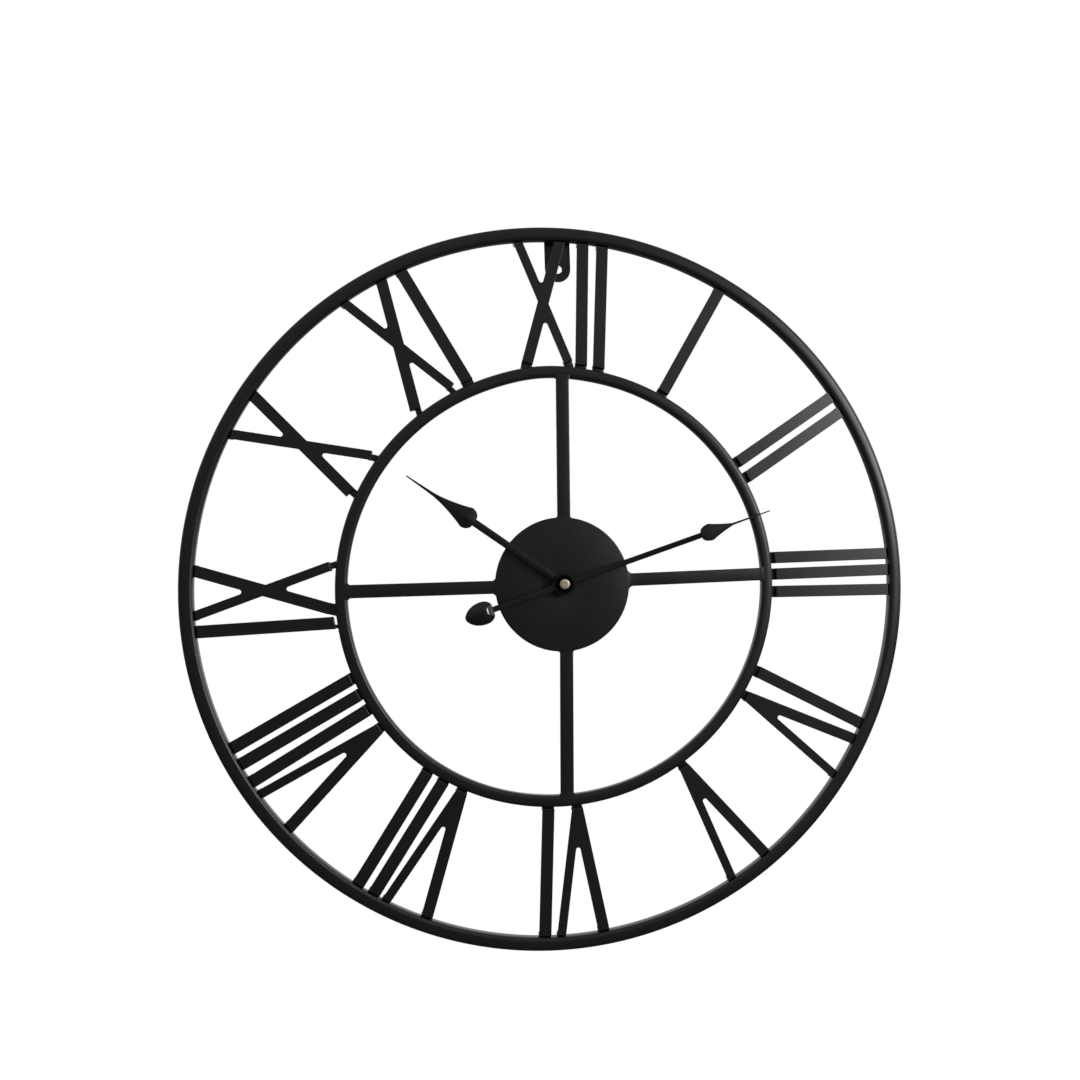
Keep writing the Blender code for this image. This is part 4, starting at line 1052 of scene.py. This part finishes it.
def build_cell():
    """The dry cell: a sleeve folded over a bare can, with its terminal and a groove at the top.

    Both are turned about Y, from (radius, distance along the cell), and laid down along X.
    """
    low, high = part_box("battery")
    wide = (high.z - low.z) / 2 / MM
    can, terminal = wide - 1.0, 2.75
    middle = (low + high) / 2
    minus, plus = low.x / MM, high.x / MM
    sleeve = [(wide - 1.1, minus + 0.08), (wide - 0.5, minus), (wide - 0.12, minus + 0.12),
              (wide, minus + 0.5), (wide, plus - 2.6), (wide - 0.25, plus - 2.1),
              (wide, plus - 1.8), (wide - 0.2, plus - 1.45), (wide - 0.9, plus - 1.3),
              (wide - 0.9, plus - 1.6), (wide - 1.1, plus - 1.6)]
    body = [(0.0, minus + 0.25), (can, minus + 0.25), (can, plus - 1.5), (3.4, plus - 1.5),
            (terminal, plus - 1.35), (terminal, plus - 0.25), (2.5, plus), (0.0, plus)]
    for name, profile, slot, hollow in (("battery_sleeve", sleeve, "battery_wrap", True),
                                        ("battery_can", body, "steel", False)):
        solid = turned(profile, 72, closed=hollow)
        for vertex in solid.verts:
            across, along, up = vertex.co
            vertex.co = Vector((along, middle.y + across, middle.z + up))
        face_outwards(solid)
        shade(new_piece(name, solid, "battery", replaced=hollow, slot=slot), 40.0)


def build_movement():
    build_housing()
    build_lid()
    build_clips()
    build_bay_signs()
    build_contacts()
    build_cell()
    rounded("setting_knob_grip", clean_copy("setting_knob"), "setting_knob", 0.15, segments=2)
    rounded("mounting_nut_hex", clean_copy("mounting_nut"), "mounting_nut", 0.25)
    rounded("mounting_washer_ring", clean_copy("mounting_washer"), "mounting_washer", 0.15)
    rounded("gasket_ring", clean_copy("gasket"), "gasket", 0.2)


def finish_other_nodes():
    """Nodes whose CAD shape is right keep it and get their finished material."""
    for node, thing in frame["nodes"].items():
        thing.data.materials.clear()
        thing.data.materials.append(MATERIALS[SLOT_OF[node]])


# Stage

def build_stage():
    """A pale floor that the eye sees as part of the seamless white background."""
    level = CAD_BOX[0].z - FLOOR_GAP
    signs = ((-1, -1), (1, -1), (1, 1), (-1, 1))
    solid = bmesh.new()
    solid.faces.new([solid.verts.new((x * FLOOR_HALF, y * FLOOR_HALF, level)) for x, y in signs])
    mesh = bpy.data.meshes.new("floor")
    solid.to_mesh(mesh)
    solid.free()
    paint = Surface("pale_floor", FLOOR_COLOUR, roughness=0.9)
    seen = paint.nodes.new("ShaderNodeLightPath")
    white = paint.nodes.new("ShaderNodeEmission")
    mixer = paint.nodes.new("ShaderNodeMixShader")
    paint.links.new(seen.outputs["Is Camera Ray"], mixer.inputs["Fac"])
    paint.links.new(paint.shader.outputs["BSDF"], mixer.inputs[1])
    paint.links.new(white.outputs["Emission"], mixer.inputs[2])
    paint.links.new(mixer.outputs["Shader"], paint.nodes["Material Output"].inputs["Surface"])
    mesh.materials.append(paint.material)
    floor = bpy.data.objects.new("floor", mesh)
    bpy.context.scene.collection.objects.link(floor)


def build_key_light():
    """A tall lamp on the right that looks at the hands' axis."""
    data = bpy.data.lights.new("key_right", "AREA")
    data.shape = "RECTANGLE"
    data.size, data.size_y = KEY_SIZE
    data.energy = KEY_WATTS
    data.color = TINT
    lamp = bpy.data.objects.new("key_right", data)
    bpy.context.scene.collection.objects.link(lamp)
    lamp.location = KEY_AT
    lamp.rotation_euler = (-Vector(KEY_AT)).to_track_quat("-Z", "Y").to_euler()


def build_world():
    """White all round to the eye; to the surfaces, bright on the right and dim elsewhere."""
    world = bpy.data.worlds.new("studio")
    bpy.context.scene.world = world
    world.use_nodes = True
    nodes, links = world.node_tree.nodes, world.node_tree.links
    nodes.clear()

    def mapped(source, low, high, low_value, high_value):
        node = nodes.new("ShaderNodeMapRange")
        node.interpolation_type = "SMOOTHSTEP"
        for name, value in (("From Min", low), ("From Max", high), ("To Min", low_value),
                            ("To Max", high_value)):
            node.inputs[name].default_value = value
        links.new(source, node.inputs["Value"])
        return node.outputs["Result"]

    def combined(operation, first, second):
        node = nodes.new("ShaderNodeMath")
        node.operation = operation
        links.new(first, node.inputs[0])
        links.new(second, node.inputs[1])
        return node.outputs["Value"]

    place = nodes.new("ShaderNodeTexCoord")
    split = nodes.new("ShaderNodeSeparateXYZ")
    links.new(place.outputs["Generated"], split.inputs["Vector"])
    # Each takes one axis of the direction looked in, from one value of it to another.
    right = mapped(split.outputs["X"], 0.55, 0.98, 0.0, WORLD_RIGHT)
    above = mapped(split.outputs["Z"], -0.45, 0.0, 0.25, 1.0)
    behind = mapped(split.outputs["Y"], -0.1, 0.8, WORLD_FRONT, WORLD_BEHIND)
    top = mapped(split.outputs["Z"], 0.0, 0.5, 0.0, WORLD_ABOVE)
    level = combined("ADD", combined("MULTIPLY", right, above), behind)
    seen = nodes.new("ShaderNodeLightPath")
    lit, white = nodes.new("ShaderNodeBackground"), nodes.new("ShaderNodeBackground")
    links.new(combined("ADD", level, top), lit.inputs["Strength"])
    lit.inputs["Color"].default_value = (*TINT, 1.0)
    white.inputs["Color"].default_value = (1.0, 1.0, 1.0, 1.0)
    white.inputs["Strength"].default_value = 1.0
    mixer = nodes.new("ShaderNodeMixShader")
    links.new(seen.outputs["Is Camera Ray"], mixer.inputs["Fac"])
    links.new(lit.outputs["Background"], mixer.inputs[1])
    links.new(white.outputs["Background"], mixer.inputs[2])
    output = nodes.new("ShaderNodeOutputWorld")
    links.new(mixer.outputs["Shader"], output.inputs["Surface"])


def build_camera():
    data = bpy.data.cameras.new("camera")
    data.lens = CAMERA_LENS
    data.sensor_width = SENSOR_WIDTH
    data.shift_x, data.shift_y = CAMERA_SHIFT
    data.clip_start = 0.05
    data.clip_end = 50.0
    camera = bpy.data.objects.new("camera", data)
    bpy.context.scene.collection.objects.link(camera)
    camera.location = Vector(CAMERA_AT) * MM
    camera.rotation_euler = Euler([math.radians(turn) for turn in CAMERA_TURN], "XYZ")
    bpy.context.scene.camera = camera


build_camera()
build_world()
build_key_light()
build_stage()
finish_other_nodes()
build_steelwork()
build_hands()
build_movement()
bpy.context.scene.view_settings.view_transform = "Standard"
